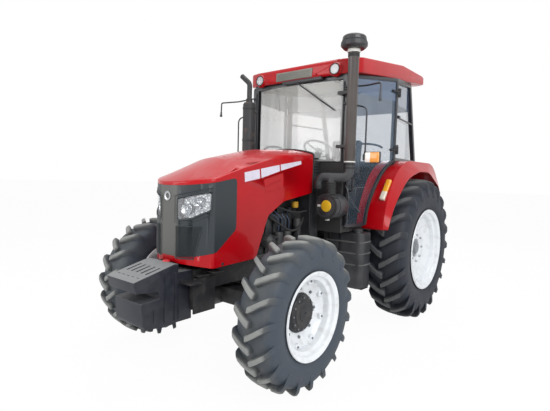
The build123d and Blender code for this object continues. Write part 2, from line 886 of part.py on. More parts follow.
with BuildPart() as quarter_windows:
    stretch = side_run.length / (c_post_x - d_post_x)
    pane_front = post / 2 + 4
    foot_back = (c_post_x - d_post_foot_x) * stretch - post / 2 - 14
    head_x = d_post_x + post / 2 + 14
    head_back = (c_post_x - head_x) * stretch
    head_z = eaves(head_x) - rail_height - 2 * fit_gap
    with BuildSketch(side_plane):
        shape(
            [
                (pane_front, fender_top + 30 + fit_gap),
                (foot_back, fender_top + 30 + fit_gap),
                (head_back, head_z),
                (pane_front, eaves(c_post_x - pane_front) - rail_height - 2 * fit_gap),
            ],
            [0] * 4,
        )
    extrude(amount=-glass)
    both_sides()
save(quarter_windows, "quarter_windows")

with BuildPart() as roof:
    half_plan = [
        (roof_front_x, 180),
        (roof_front_x - 20, 480),
        (roof_front_x - 100, roof_half_width),
        (roof_rear_x + 75, roof_half_width),
        (roof_rear_x, 620),
    ]
    side_slab(
        [
            (roof_front_x, eaves(roof_front_x)),
            (roof_front_x - 30, 2735),
            (rear_axle_x + 200, 2882),
            (rear_axle_x - 380, 2882),
            (roof_rear_x, 2858),
            (roof_rear_x, eaves(roof_rear_x)),
        ],
        [20, 40, 300, 60, 30, 20],
        (-roof_half_width, roof_half_width),
    )
    plan_slab(
        half_plan + [(x, -y) for x, y in reversed(half_plan)],
        [60, 120, 120, 80, 60, 60, 80, 120, 120, 60],
        (2500, 3000),
        Mode.INTERSECT,
    )
    # pockets for the work lamps in the front edge
    for side in (-1, 1):
        bar(
            (work_lamp_x, side * work_lamp_y, work_lamp_z),
            (roof_front_x + 50, side * work_lamp_y, work_lamp_z),
            work_lamp_radius + 6,
            Mode.SUBTRACT,
        )
save(roof, "roof")

# ---------------------------------------------------------------------------
# Cowl behind the hood, console, steering wheel and seat
# ---------------------------------------------------------------------------

with BuildPart() as cowl:
    side_slab(
        [
            (cab_front_x + panel + fit_gap, housing_top - 40 + fit_gap),
            (cab_front_x + panel + fit_gap, sill_height),
            (cowl_front_x - 60, sill_height),
            (cowl_front_x, sill_height - 55),
            (cowl_front_x, housing_top - 40 + fit_gap),
        ],
        [0, 0, 25, 25, 0],
        (-cowl_half_width, cowl_half_width),
    )
    # brackets and pins of the hood's hinges
    for side in (-1, 1):
        ear = sorted(side * y for y in (hood_hinge_y + 16, hood_hinge_y + 32))
        bracket = [
            (cowl_front_x - 40, sill_height - 90),
            (cowl_front_x - 40, hood_hinge_z - 22),
            (hood_hinge_x - 16, hood_hinge_z + 15),
            (hood_hinge_x + 15, hood_hinge_z + 15),
            (hood_hinge_x + 15, hood_hinge_z - 20),
            (cowl_front_x, sill_height - 130),
        ]
        side_slab(bracket, [0, 0, 12, 12, 12, 0], ear)
        bar(
            (hood_hinge_x, side * (hood_hinge_y - 16), hood_hinge_z),
            (hood_hinge_x, side * (hood_hinge_y + 20), hood_hinge_z),
            hood_pin_radius,
        )
save(cowl, "cowl")

wheel_centre = Vector(rear_axle_x + 790, 0, 1900)
wheel_lean = math.radians(35)
wheel_axis = Vector(-math.sin(wheel_lean), 0, math.cos(wheel_lean))
steering_wheel_radius = 195
panel_edge = Vector(rear_axle_x + 925, 0, 1626)
panel_run = 135

with BuildPart() as dash:
    side_slab(
        [
            (cab_front_x - 2, floor_top + fit_gap),
            (cab_front_x - 2, panel_edge.Z + panel_run * math.tan(wheel_lean)),
            (panel_edge.X + panel_run, panel_edge.Z + panel_run * math.tan(wheel_lean)),
            (panel_edge.X, panel_edge.Z),
            (panel_edge.X + 45, panel_edge.Z - 70),
            (rear_axle_x + 1080, 1450),
            (rear_axle_x + 1080, floor_top + fit_gap),
        ],
        [0, 0, 30, 8, 20, 30, 0],
        (-190, 190),
    )
save(dash, "dash")

with BuildPart() as steering_column:
    column_length = (wheel_centre - panel_edge).dot(wheel_axis) - fit_gap
    bar(wheel_centre - wheel_axis * column_length, wheel_centre - wheel_axis * 42, 36)
save(steering_column, "steering_column")

with BuildPart() as steering_wheel:
    wheel_plane = Plane(origin=wheel_centre, z_dir=wheel_axis)
    with Locations(wheel_plane):
        Torus(steering_wheel_radius - 14, 14)
        Cylinder(36, 40)
    for angle in (90, 210, 330):
        across = wheel_plane.x_dir.rotate(Axis((0, 0, 0), wheel_axis), angle)
        bar(wheel_centre, (wheel_centre + across * (steering_wheel_radius - 14)), 10)
    bar((wheel_centre - wheel_axis * 41), wheel_centre, 18)
save(steering_wheel, "steering_wheel")

seat_x = rear_axle_x + 190
seat_z = 1540
with BuildPart() as seat_base:
    block((seat_x, seat_x + 420), (-190, 190), (floor_top + 150 + fit_gap, floor_top + 190))
    block((seat_x + 40, seat_x + 380), (-150, 150), (floor_top + 190, seat_z - 60))
    block((seat_x - 10, seat_x + 430), (-210, 210), (seat_z - 60, seat_z - 40))
save(seat_base, "seat_base")

with BuildPart() as seat:
    side_slab(
        [
            (seat_x - 10, seat_z - 40 + fit_gap),
            (seat_x + 470, seat_z - 40 + fit_gap),
            (seat_x + 480, seat_z + 70),
            (seat_x + 110, seat_z + 60),
            (seat_x + 30, seat_z + 560),
            (seat_x - 60, seat_z + 560),
            (seat_x - 30, seat_z + 60),
        ],
        [30, 30, 40, 60, 40, 40, 40],
        (-235, 235),
    )
save(seat, "seat")

# ---------------------------------------------------------------------------
# Doors, hung on the door posts
# ---------------------------------------------------------------------------

door_run = Vector(a_post_x + post / 2 - c_post_x, a_post_y + post / 2 - c_post_y, 0)
door_forward = door_run.normalized()
door_inward = door_forward.cross(Vector(0, 0, 1))
door_stretch = door_run.length / door_run.X
fender_gap = 42
door_plane = Plane(
    origin=Vector(c_post_x, c_post_y, 0) - door_inward * door_gap, x_dir=door_forward, z_dir=door_inward
)


def door_point(x, z):
    """A point of the door's own plane, above a place along the tractor."""
    return ((x - c_post_x) * door_stretch, z)


door_rear_x = c_post_x + 30
door_front_x = a_post_x + 12
shoulder_rise = (CREASE[3][1] - CREASE[2][1]) / (CREASE[2][0] - CREASE[3][0])
shoulder_z = CREASE[2][1] + (CREASE[2][0] + rear_axle_x - door_rear_x) * shoulder_rise
DOOR = [
    door_point(door_front_x, floor_top + 15),
    door_point(rear_axle_x + CREASE[0][0] + fender_gap, floor_top + 15),
    door_point(rear_axle_x + CREASE[1][0] + fender_gap, CREASE[1][1] + 15),
    door_point(rear_axle_x + CREASE[2][0] + 0.7 * fender_gap, CREASE[2][1] + 0.75 * fender_gap),
    door_point(door_rear_x, shoulder_z + fender_gap),
    door_point(door_rear_x, eaves(door_rear_x) - 12),
    door_point(door_front_x, eaves(door_front_x) - 12),
]
DOOR_RADII = [30, 30, 900, 640, 40, 40, 40]


def door_sheet(inset, depth_from, depth_to, mode=Mode.ADD):
    """The door's outline moved in by an inset, between two depths outwards of its inner face."""
    with BuildSketch(door_plane.offset(-depth_from)) as sheet:
        shape(DOOR, DOOR_RADII)
        if inset:
            offset(amount=-inset, kind=Kind.INTERSECTION, mode=Mode.REPLACE)
    extrude(sheet.sketch, amount=depth_to - depth_from, dir=door_inward * -1, mode=mode)


with BuildPart() as door:
    door_sheet(0, 0, door_depth)
    door_sheet(door_border, -5, door_depth + 5, Mode.SUBTRACT)
    # barrels and straps of the two hinges
    for z in HINGE_HEIGHTS:
        bar((hinge_x, hinge_y, z + 12 + fit_gap), (hinge_x, hinge_y, z + 60), hinge_radius)
        block((hinge_x, hinge_x + 50), (hinge_y - 9, hinge_y + 5), (z + 20, z + 54))
        bar((hinge_x, hinge_y, z), (hinge_x, hinge_y, z + 56), hinge_pin_radius + running_gap, Mode.SUBTRACT)
save(door, "door_left")

with BuildPart() as door_right:
    mirror(door.part, about=Plane.XZ)
save(door_right, "door_right")

with BuildPart() as door_glass:
    door_sheet(door_border + fit_gap, 9, 9 + glass)
save(door_glass, "door_glass_left")

with BuildPart() as door_glass_right:
    mirror(door_glass.part, about=Plane.XZ)
save(door_glass_right, "door_glass_right")

# ---------------------------------------------------------------------------
# Lamps of the cab and the fenders
# ---------------------------------------------------------------------------

with BuildPart() as lamps:
    # marker lamp on the fender's front, leaning back with it
    lamp_top = Vector(rear_axle_x + 674, 815, 1587)
    lamp_foot = Vector(rear_axle_x + 800, 797, 1386)
    lamp_middle = (lamp_top + lamp_foot) * 0.5
    with Locations(Plane(origin=lamp_middle, x_dir=lamp_foot - lamp_top, z_dir=(0.85, 0, 0.53))):
        Box((lamp_foot - lamp_top).length, 52, 44)
    # tail lamp on the fender's back
    block((rear_axle_x - 850, rear_axle_x - 770), (610, 780), (1350, 1450))
    add(fender_seat.part, mode=Mode.SUBTRACT)
    both_sides()
save(lamps, "fender_lamps")

with BuildPart() as work_lamps:
    bar(
        (work_lamp_x + fit_gap, work_lamp_y, work_lamp_z),
        (work_lamp_x + 48, work_lamp_y, work_lamp_z),
        work_lamp_radius,
    )
    both_sides()
save(work_lamps, "work_lamps")

# ---------------------------------------------------------------------------
# Exhaust on the right, intake on the left
# ---------------------------------------------------------------------------

exhaust_x = rear_axle_x + 1450
exhaust_y = -486
muffler_radius = 67
muffler_span = (1300, 2380)
outlet_radius = 27

with BuildPart() as exhaust:
    # silencer with its coned ends, as one turned form
    with BuildSketch(Plane.XZ.offset(-exhaust_y)) as half_silencer:
        base, head = muffler_span
        with BuildLine():
            Polyline(
                (exhaust_x, base),
                (exhaust_x + 40, base),
                (exhaust_x + muffler_radius, base + 30),
                (exhaust_x + muffler_radius, head - 20),
                (exhaust_x + muffler_radius - 12, head),
                (exhaust_x + outlet_radius + 10, head),
                (exhaust_x + outlet_radius + 3, head + 45),
                (exhaust_x, head + 45),
                close=True,
            )
        make_face()
    revolve(half_silencer.sketch, axis=Axis((exhaust_x, exhaust_y, 0), (0, 0, 1)))
    pipe(
        [
            (exhaust_x, exhaust_y, head + 20),
            (exhaust_x, exhaust_y, head + 205),
            (exhaust_x, exhaust_y - 115, head + 295),
        ],
        60,
        outlet_radius,
    )
    pipe(
        [
            (exhaust_x, exhaust_y, base + 20),
            (exhaust_x, exhaust_y, engine_top - 60),
            (exhaust_x + 60, -engine_half_width - 90, engine_top - 60),
            (exhaust_x + 60, -engine_half_width - fit_gap, engine_top - 60),
        ],
        60,
        34,
    )
    block(
        (engine_rear_x, engine_rear_x + 160),
        (-engine_half_width - 50, -engine_half_width - fit_gap),
        (engine_top - 110, engine_top - 10),
    )
save(exhaust, "exhaust")

filter_y = 556
filter_z = 1326
filter_radius = 117
stack_x = rear_axle_x + 1350
stack_y = 714
stack_radius = 50
stack_base = 1740
stack_top = 2770
collar_radius = 56
cleaner_radius = 118
cleaner_edge = stack_x + cleaner_radius
cleaner_top = 2890
duct_radius = 43
duct_z = 1600
duct_end_x = stack_x + 105
duct_end_y = filter_y - 110
riser_x = stack_x + 62

with BuildPart() as air_filter:
    bar(
        (cab_front_x + panel + fit_gap, filter_y, filter_z),
        (rear_axle_x + 1485, filter_y, filter_z),
        filter_radius,
    )
    # hose up to the stack's elbow
    bar((riser_x, filter_y, filter_z), (riser_x, filter_y, duct_z), 44)
    pipe(
        [
            (duct_end_x, duct_end_y, duct_z - 110),
            (duct_end_x, duct_end_y, duct_z),
            (stack_x, stack_y, duct_z),
            (stack_x, stack_y, stack_base - fit_gap),
        ],
        60,
        duct_radius,
    )
save(air_filter, "air_filter")

with BuildPart() as intake_stack:
    bar((stack_x, stack_y, stack_base), (stack_x, stack_y, stack_top + 10), stack_radius)
    # collar and two-tier bowl of the pre-cleaner, as one turned form
    with BuildSketch(Plane.XZ.offset(-stack_y)) as half_cleaner:
        with BuildLine():
            Polyline(
                (stack_x, stack_top - 32),
                (stack_x + collar_radius, stack_top - 32),
                (stack_x + collar_radius, stack_top),
                (cleaner_edge - 22, stack_top),
                (cleaner_edge, stack_top + 20),
                (cleaner_edge, stack_top + 62),
                (cleaner_edge - 8, stack_top + 66),
                (cleaner_edge - 8, cleaner_top - 28),
            )
            RadiusArc((cleaner_edge - 8, cleaner_top - 28), (cleaner_edge - 36, cleaner_top), -28)
            Polyline(
                (cleaner_edge - 36, cleaner_top),
                (stack_x, cleaner_top),
                (stack_x, stack_top - 32),
            )
        make_face()
    revolve(half_cleaner.sketch, axis=Axis((stack_x, stack_y, 0), (0, 0, 1)))
    # brackets to the front post
    for z in (1880, 2380):
        block((cab_front_x + fit_gap, cab_front_x + 25), (a_post_y - 15, a_post_y + 20), (z, z + 30))
        block((cab_front_x + 12, stack_x), (a_post_y - 15, stack_y - 30), (z, z + 30))
save(intake_stack, "intake_stack")

post_face_x = cab_front_x + fit_gap
rail_x = post_face_x + 26
rail_y = 825
rail_foot_z = 1822

with BuildPart() as mirror_arms:
    pipe(
        [
            (post_face_x, a_post_y + 12, 2462),
            (rail_x, a_post_y + 12, 2462),
            (rail_x + 4, rail_y, 2450),
            (rear_axle_x + 1368, 1005, 2436),
            (rear_axle_x + 1375, 1005, 2290),
        ],
        [16, 60, 18],
        8,
    )
    bar((rear_axle_x + 1373, 1005, 2330), (rear_axle_x + 1375, 1005, 2284), 10.5)
    # bent rail that carries the turn lamp
    pipe(
        [
            (post_face_x, a_post_y, 2312),
            (rail_x, a_post_y, 2312),
            (rail_x, rail_y, 2252),
            (rail_x, rail_y, rail_foot_z),
        ],
        [16, 60],
        8,
    )
    both_sides()
save(mirror_arms, "mirror_arms")

with BuildPart() as turn_lamps:
    block((rail_x - 8, rail_x + 50), (rail_y + 15, rail_y + 160), (rail_foot_z - 84, rail_foot_z + 21))
    fillet(turn_lamps.edges().filter_by(Axis.X), 14)
    # knuckle under the rail's foot, which carries the lamp
    block((rail_x - 12, rail_x + 12), (rail_y - 18, rail_y + 20), (rail_foot_z - 60, rail_foot_z - fit_gap))
    both_sides()
save(turn_lamps, "turn_lamps")

# ---------------------------------------------------------------------------
# Hitch, drawbar and power take-off
# ---------------------------------------------------------------------------

housing_rear_x = rear_axle_x - 280

with BuildPart() as hitch_frame:
    block((housing_rear_x - 30, housing_rear_x - fit_gap), (-150, 150), (700, 985))
    for y in (-130, 100):
        block((rockshaft_x - 45, housing_rear_x - 30), (y, y + 30), (rockshaft_z - 50, rockshaft_z + 50))
    for y in (-60, 38):
        block((housing_rear_x - 120, housing_rear_x - 30), (y, y + 22), (755, 825))
    with Locations((housing_rear_x - 95, 0, 785)):
        Cylinder(top_link_pin_radius, 200, rotation=(90, 0, 0), mode=Mode.SUBTRACT)
    bar(
        (rockshaft_x, -200, rockshaft_z),
        (rockshaft_x, 200, rockshaft_z),
        rockshaft_radius + running_gap,
        Mode.SUBTRACT,
    )
    block((housing_rear_x - 130, housing_rear_x - 30), (-85, 85), (700, 708))
    # pins of the lower links, on the sides of the housing
    for side in (-1, 1):
        start = side * (housing_half_width + 20 + fit_gap)
        stop = side * (link_pivot_y + link_thickness / 2 + 12)
        bar(
            (link_pivot_x, start, link_pivot_z),
            (link_pivot_x, stop, link_pivot_z),
            link_pin_radius - running_gap,
        )
save(hitch_frame, "hitch_frame")

with BuildPart() as lift_arms:
    shaft_end = lift_arm_y + 15
    bar((rockshaft_x, -shaft_end, rockshaft_z), (rockshaft_x, shaft_end, rockshaft_z), rockshaft_radius)
    arm_end_x = rockshaft_x - lift_arm_length
    for side in (-1, 1):
        low, high = sorted((side * (lift_arm_y - 15), side * (lift_arm_y + 15)))
        bar((rockshaft_x, low, rockshaft_z), (rockshaft_x, high, rockshaft_z), 48)
        bar((arm_end_x, low, rockshaft_z), (arm_end_x, high, rockshaft_z), 34)
        block((arm_end_x, rockshaft_x), (low, high), (rockshaft_z - 30, rockshaft_z + 30))
save(lift_arms, "lift_arms")

rod_foot_y = link_end_y - 18

with BuildPart() as lift_rods:
    top = (arm_end_x, lift_arm_y + 15 + 0.5 + 14, rockshaft_z)
    foot = (arm_end_x, rod_foot_y + 12, link_pivot_z)
    bar(top, foot, 13)
    bar((arm_end_x, top[1] - 14, rockshaft_z), (arm_end_x, top[1] + 14, rockshaft_z), 28)
    bar((arm_end_x, foot[1] - 12, link_pivot_z), (arm_end_x, foot[1] + 12, link_pivot_z), 26)
    both_sides()
save(lift_rods, "lift_rods")

with BuildPart() as lower_links:
    half = link_thickness / 2
    plan_slab(
        [
            (link_pivot_x, link_pivot_y - half),
            (link_pivot_x - 60, link_pivot_y - half),
            (link_end_x + 60, link_end_y - half),
            (link_end_x, link_end_y - half),
            (link_end_x, link_end_y + half),
            (link_end_x + 60, link_end_y + half),
            (link_pivot_x - 60, link_pivot_y + half),
            (link_pivot_x, link_pivot_y + half),
        ],
        [0] * 8,
        (link_pivot_z - 28, link_pivot_z + 28),
    )
    for x, y in ((link_pivot_x, link_pivot_y), (link_end_x, link_end_y)):
        bar((x, y - half, link_pivot_z), (x, y + half, link_pivot_z), link_eye_radius)
        bar((x, y - half - 5, link_pivot_z), (x, y + half + 5, link_pivot_z), link_pin_radius, Mode.SUBTRACT)
    both_sides()
save(lower_links, "lower_links")

with BuildPart() as drawbar:
    block((drawbar_end_x, rear_axle_x + 100), (-35, 35), (360, 395))
    with Locations((drawbar_end_x + 50, 0, 377)):
        Cylinder(drawbar_pin_radius, 60, mode=Mode.SUBTRACT)
    block((housing_rear_x, housing_rear_x + 60), (-90, 90), (345, housing_base - fit_gap))
    block((rear_axle_x, rear_axle_x + 60), (-60, 60), (350, housing_base - fit_gap))
save(drawbar, "drawbar")

with BuildPart() as pto_shaft:
    bar((housing_rear_x - 80, 0, pto_height), (housing_rear_x - fit_gap, 0, pto_height), pto_radius)
    bar((housing_rear_x - 12, 0, pto_height), (housing_rear_x - fit_gap, 0, pto_height), 60)
save(pto_shaft, "pto_shaft")
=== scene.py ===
import bpy
import math
from mathutils import Matrix, Vector


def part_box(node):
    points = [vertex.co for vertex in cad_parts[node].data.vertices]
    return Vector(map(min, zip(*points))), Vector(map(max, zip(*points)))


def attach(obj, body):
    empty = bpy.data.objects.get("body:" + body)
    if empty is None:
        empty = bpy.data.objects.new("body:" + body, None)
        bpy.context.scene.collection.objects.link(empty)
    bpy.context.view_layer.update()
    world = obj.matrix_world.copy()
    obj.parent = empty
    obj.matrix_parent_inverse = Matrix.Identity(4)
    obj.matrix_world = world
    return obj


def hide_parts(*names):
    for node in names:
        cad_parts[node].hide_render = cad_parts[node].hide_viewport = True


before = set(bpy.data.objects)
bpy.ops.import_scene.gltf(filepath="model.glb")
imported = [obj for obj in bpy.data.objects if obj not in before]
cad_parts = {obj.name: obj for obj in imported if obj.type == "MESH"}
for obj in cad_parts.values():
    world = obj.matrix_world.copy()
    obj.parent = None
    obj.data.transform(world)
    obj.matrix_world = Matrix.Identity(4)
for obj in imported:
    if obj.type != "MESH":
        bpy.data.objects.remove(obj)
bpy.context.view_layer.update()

# --------------------------------------------------
# Studio: a pale floor under a white surround, and soft lamps from the left
# front, overhead and behind. The camera stands at the front left corner.


def tint(red, green, blue):
    """A colour mixed by its usual 0 to 255 values."""
    levels = [((c / 255 + 0.055) / 1.055) ** 2.4 if c > 10 else c / 3295 for c in (red, green, blue)]
    return (*levels, 1)


class Level:
    """A number or colour inside a finish; sums and products of it add the nodes."""

    def __init__(self, finish, socket):
        self.finish, self.socket = finish, socket

    def reckon(self, operation, first, second):
        return self.finish.node("ShaderNodeMath", {"operation": operation}, {0: first, 1: second})

    def __add__(self, other):
        return self.reckon("ADD", self, other)

    def __radd__(self, other):
        return self.reckon("ADD", other, self)

    def __sub__(self, other):
        return self.reckon("SUBTRACT", self, other)

    def __rsub__(self, other):
        return self.reckon("SUBTRACT", other, self)

    def __mul__(self, other):
        return self.reckon("MULTIPLY", self, other)

    def __rmul__(self, other):
        return self.reckon("MULTIPLY", other, self)

    def __pow__(self, other):
        return self.reckon("POWER", self, other)

    def __rpow__(self, other):
        return self.reckon("POWER", other, self)


class Finish:
    """One surface finish: its shader and the nodes that vary it over the piece."""

    def __init__(self, name, colour=(1, 1, 1, 1), roughness=0.5, **constants):
        self.material = bpy.data.materials.new(name)
        self.material.use_nodes = True
        self.tree = self.material.node_tree
        self.shader = self.tree.nodes["Principled BSDF"]
        constants = {"Base Color": colour, "Roughness": roughness, **constants}
        for socket, value in constants.items():
            self.shader.inputs[socket.replace("_", " ")].default_value = value
        self.place = self.node("ShaderNodeTexCoord", output="Object")

    def node(self, kind, settings=None, inputs=None, output=0):
        made = self.tree.nodes.new(kind)
        for name, value in (settings or {}).items():
            setattr(made, name, value)
        for name, value in (inputs or {}).items():
            if isinstance(value, Level):
                self.tree.links.new(value.socket, made.inputs[name])
            else:
                made.inputs[name].default_value = value
        return Level(self, made.outputs[output])

    def noise(self, scale, detail=4, stretch=(1, 1, 1)):
        place = self.node("ShaderNodeMapping", None, {"Vector": self.place, "Scale": stretch})
        return self.node("ShaderNodeTexNoise", None, {"Vector": place, "Scale": scale, "Detail": detail})

    def ramp(self, level, low, high):
        """0 under the low value, 1 over the high one."""
        return self.node(
            "ShaderNodeMapRange", {"clamp": True}, {"Value": level, "From Min": low, "From Max": high}
        )

    def mix(self, share, one, other):
        return self.node("ShaderNodeMix", {"data_type": "RGBA"}, {0: share, 6: one, 7: other}, 2)

    def axis(self, letter):
        return self.node("ShaderNodeSeparateXYZ", None, {0: self.place}, letter)

    def upward(self):
        """1 where the surface faces up, 0 on a flank."""
        facing = self.node("ShaderNodeNewGeometry", output="Normal")
        return self.node("ShaderNodeSeparateXYZ", None, {0: facing}, 2)

    def wave(self, operation, level):
        return self.node("ShaderNodeMath", {"operation": operation}, {0: level})

    def feed(self, **levels):
        for socket, level in levels.items():
            self.tree.links.new(level.socket, self.shader.inputs[socket.replace("_", " ")])
        return self

    def bump(self, height, depth, strength=0.5):
        relief = {"Height": height, "Distance": depth, "Strength": strength}
        return self.feed(Normal=self.node("ShaderNodeBump", None, relief))

    def on(self, *pieces):
        for piece in pieces:
            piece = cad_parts.get(piece, piece) if isinstance(piece, str) else piece
            piece.data.materials.clear()
            piece.data.materials.append(self.material)
        return self


bpy.ops.object.select_all(action="DESELECT")
bpy.ops.mesh.primitive_plane_add(size=160, location=(0, 0, -0.001))
floor = bpy.context.object
floor.name = "studio_floor"

floor_finish = Finish("studio floor", tint(246, 246, 246), 0.9)
floor_finish.on(floor)
seen = floor_finish.node("ShaderNodeLightPath", output="Is Camera Ray")
for ray in ("Is Glossy Ray", "Is Transmission Ray"):
    also = floor_finish.node("ShaderNodeLightPath", output=ray)
    seen = floor_finish.node("ShaderNodeMath", {"operation": "MAXIMUM"}, {0: seen, 1: also})
glow = floor_finish.node("ShaderNodeEmission", None, {"Color": (1, 1, 1, 1), "Strength": 1})
shown = floor_finish.node("ShaderNodeMixShader", None, {
    0: seen * 0.96, 1: Level(floor_finish, floor_finish.shader.outputs[0]), 2: glow})
floor_finish.tree.links.new(shown.socket, floor_finish.tree.nodes["Material Output"].inputs[0])

world = bpy.data.worlds.new("studio surround")
bpy.context.scene.world = world
world.use_nodes = True
tree = world.node_tree
paths = tree.nodes.new("ShaderNodeLightPath")
either = paths.outputs["Is Camera Ray"]
for ray in ("Is Transmission Ray", "Is Glossy Ray"):
    larger = tree.nodes.new("ShaderNodeMath")
    larger.operation = "MAXIMUM"
    tree.links.new(either, larger.inputs[0])
    tree.links.new(paths.outputs[ray], larger.inputs[1])
    either = larger.outputs[0]
level = tree.nodes.new("ShaderNodeMapRange")
level.inputs["To Min"].default_value = 0.42
level.inputs["To Max"].default_value = 1
tree.links.new(either, level.inputs["Value"])
tree.links.new(level.outputs[0], tree.nodes["Background"].inputs["Strength"])
tree.nodes["Background"].inputs["Color"].default_value = (1, 1, 1, 1)

# place, aim, width, power
LAMPS = [
    ((3.5, 6.5, 5.5), (0, 0, 1.0), 5, 420),
    ((7.0, -2.5, 3.5), (0.5, 0, 1.0), 4, 180),
    ((-1.0, 0.5, 8.0), (0, 0, 1.5), 6, 260),
    ((-6.5, -4.0, 4.0), (0, 0, 1.2), 4, 140),
]
for number, (place, aim, width, power) in enumerate(LAMPS):
    bpy.ops.object.light_add(type="AREA", location=place)
    lamp = bpy.context.object
    lamp.name = f"studio_lamp_{number + 1}"
    lamp.data.size = width
    lamp.data.energy = power
    lamp.rotation_euler = (Vector(place) - Vector(aim)).to_track_quat("Z", "Y").to_euler()

bpy.ops.object.camera_add()
camera = bpy.context.object
camera.data.lens = 27.38
camera.data.sensor_width = 36
camera.data.shift_x = -0.00826
camera.data.shift_y = 0.00666
turn = Matrix.Rotation(math.radians(128.757), 4, "Z")
tilt = Matrix.Rotation(math.radians(90 - 4.251), 4, "X")
roll = Matrix.Rotation(math.radians(1.603), 4, "Z")
camera.matrix_world = Matrix.Translation((3.656, 2.668, 1.579)) @ turn @ tilt @ roll
bpy.context.scene.camera = camera
bpy.context.scene.view_settings.view_transform = "Standard"

# --------------------------------------------------
# Tyres: cross-ply farm tyres of black rubber, with long curved lugs that meet
# in a chevron. The casing is turned on the axle, and one lug is copied round it.

FINE_GAP = 0.00001
SIDES = (-1, 1)


def alone(piece):
    """Selects one piece and nothing else."""
    bpy.ops.object.select_all(action="DESELECT")
    piece.select_set(True)
    bpy.context.view_layer.objects.active = piece


def settle(piece, name, body, finish, angle=35, stands_for=()):
    """Gives a finished piece its name, place, shading, finish and body."""
    piece = joined(piece) if isinstance(piece, list) else piece
    alone(piece)
    bpy.ops.object.transform_apply()
    bpy.ops.object.shade_smooth_by_angle(angle=math.radians(angle))
    piece.name = name
    finish.on(piece)
    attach(piece, body)
    if stands_for:
        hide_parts(*stands_for)
    return piece


def pick(piece, chosen=True):
    """Leaves the piece in edit mode with all or none of its points selected."""
    alone(piece)
    bpy.ops.object.mode_set(mode="EDIT")
    bpy.ops.mesh.select_mode(type="VERT")
    bpy.ops.mesh.select_all(action="SELECT" if chosen else "DESELECT")


def fixed(piece, name, finish, angle=35, stands_for=()):
    """Settles a piece that stays with the chassis."""
    return settle(piece, name, "chassis", finish, angle, stands_for)


def close_up(piece, gap=0.0002):
    """Merges doubles and turns every face outwards."""
    pick(piece)
    bpy.ops.mesh.remove_doubles(threshold=gap)
    bpy.ops.mesh.normals_make_consistent(inside=False)
    bpy.ops.object.mode_set(mode="OBJECT")
    return piece


def drawn(points, closed=False):
    """A line of points, drawn by extruding one corner along it."""
    bpy.ops.object.select_all(action="DESELECT")
    bpy.ops.mesh.primitive_plane_add(size=0.01, location=points[0])
    piece = bpy.context.object
    bpy.ops.object.transform_apply()
    bpy.ops.object.mode_set(mode="EDIT")
    bpy.ops.mesh.select_mode(type="VERT")
    bpy.ops.mesh.select_all(action="SELECT")
    bpy.ops.mesh.merge(type="CENTER")
    for here, there in zip(points, points[1:]):
        step = Vector(there) - Vector(here)
        bpy.ops.mesh.extrude_region_move(TRANSFORM_OT_translate={"value": step})
    if closed:
        bpy.ops.mesh.select_all(action="SELECT")
        bpy.ops.mesh.edge_face_add()
    bpy.ops.object.mode_set(mode="OBJECT")
    return piece


def turned(profile, centre, axis="Y", steps=64, closed=True):
    """A ring or disc spun about a centre, from a list of (along the axis, radius)."""
    centre = Vector(centre)
    line = [centre + Vector({"X": (a, r, 0), "Y": (r, a, 0), "Z": (r, 0, a)}[axis]) for a, r in profile]
    if closed:
        line.append(line[0])
    piece = drawn(line)
    bpy.ops.object.mode_set(mode="EDIT")
    bpy.ops.mesh.select_all(action="SELECT")
    about = {"X": (1, 0, 0), "Y": (0, 1, 0), "Z": (0, 0, 1)}[axis]
    bpy.ops.mesh.spin(steps=steps, angle=2 * math.pi, center=centre, axis=about)
    bpy.ops.object.mode_set(mode="OBJECT")
    return close_up(piece)


def modify(piece, kind, **settings):
    """Adds a modifier with its settings and applies it."""
    alone(piece)
    made = piece.modifiers.new(kind.lower(), kind)
    for name, value in settings.items():
        setattr(made, name, value)
    bpy.ops.object.modifier_apply(modifier=made.name)
    return piece


def joined(pieces):
    """Several meshes made one."""
    bpy.ops.object.select_all(action="DESELECT")
    for piece in pieces:
        piece.select_set(True)
    bpy.context.view_layer.objects.active = pieces[0]
    bpy.ops.object.join()
    return pieces[0]


def mirrored(piece):
    """The same shape on the tractor's other side, with a mesh of its own."""
    alone(piece)
    bpy.ops.object.duplicate()
    other = bpy.context.object
    other.parent = None
    for mark in [key for key in other.keys() if key.startswith("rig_")]:
        del other[mark]
    bpy.ops.transform.resize(value=(1, -1, 1), center_override=(0, 0, 0))
    bpy.ops.object.transform_apply()
    return close_up(other, FINE_GAP)


def pair(piece, name, body, finish, angle=35, stands_for=None):
    """Settles a left piece, and then its like on the right."""
    for side in ("left", "right"):
        nodes = [f"{stands_for}_{side}"] if stands_for else ()
        piece = mirrored(piece) if side == "right" else piece
        settle(piece, f"{name}_{side}", f"{body}_{side}", finish, angle, nodes)


# across the casing and out from the axle, as shares of the half width and radius
CASING = [
    (0.87, 0.535), (0.88, 0.585), (0.925, 0.60), (0.935, 0.615), (0.95, 0.62), (0.985, 0.67), (1.0, 0.735),
    (0.985, 0.79), (0.93, 0.845), (0.83, 0.882), (0.68, 0.902), (0.4, 0.914), (0, 0.918),
]
# across, turned back round the tyre, base and top as shares of the radius, half width
LUG = [
    (-0.07, 0.000, 0.905, 1.000, 0.0350),
    (0.12, 0.026, 0.905, 1.000, 0.0350),
    (0.38, 0.072, 0.900, 0.998, 0.0335),
    (0.62, 0.118, 0.885, 0.990, 0.0330),
    (0.83, 0.156, 0.860, 0.975, 0.0330),
    (0.965, 0.186, 0.810, 0.930, 0.0320),
    (1.01, 0.205, 0.760, 0.845, 0.0290),
    (0.99, 0.212, 0.720, 0.755, 0.0230),
]
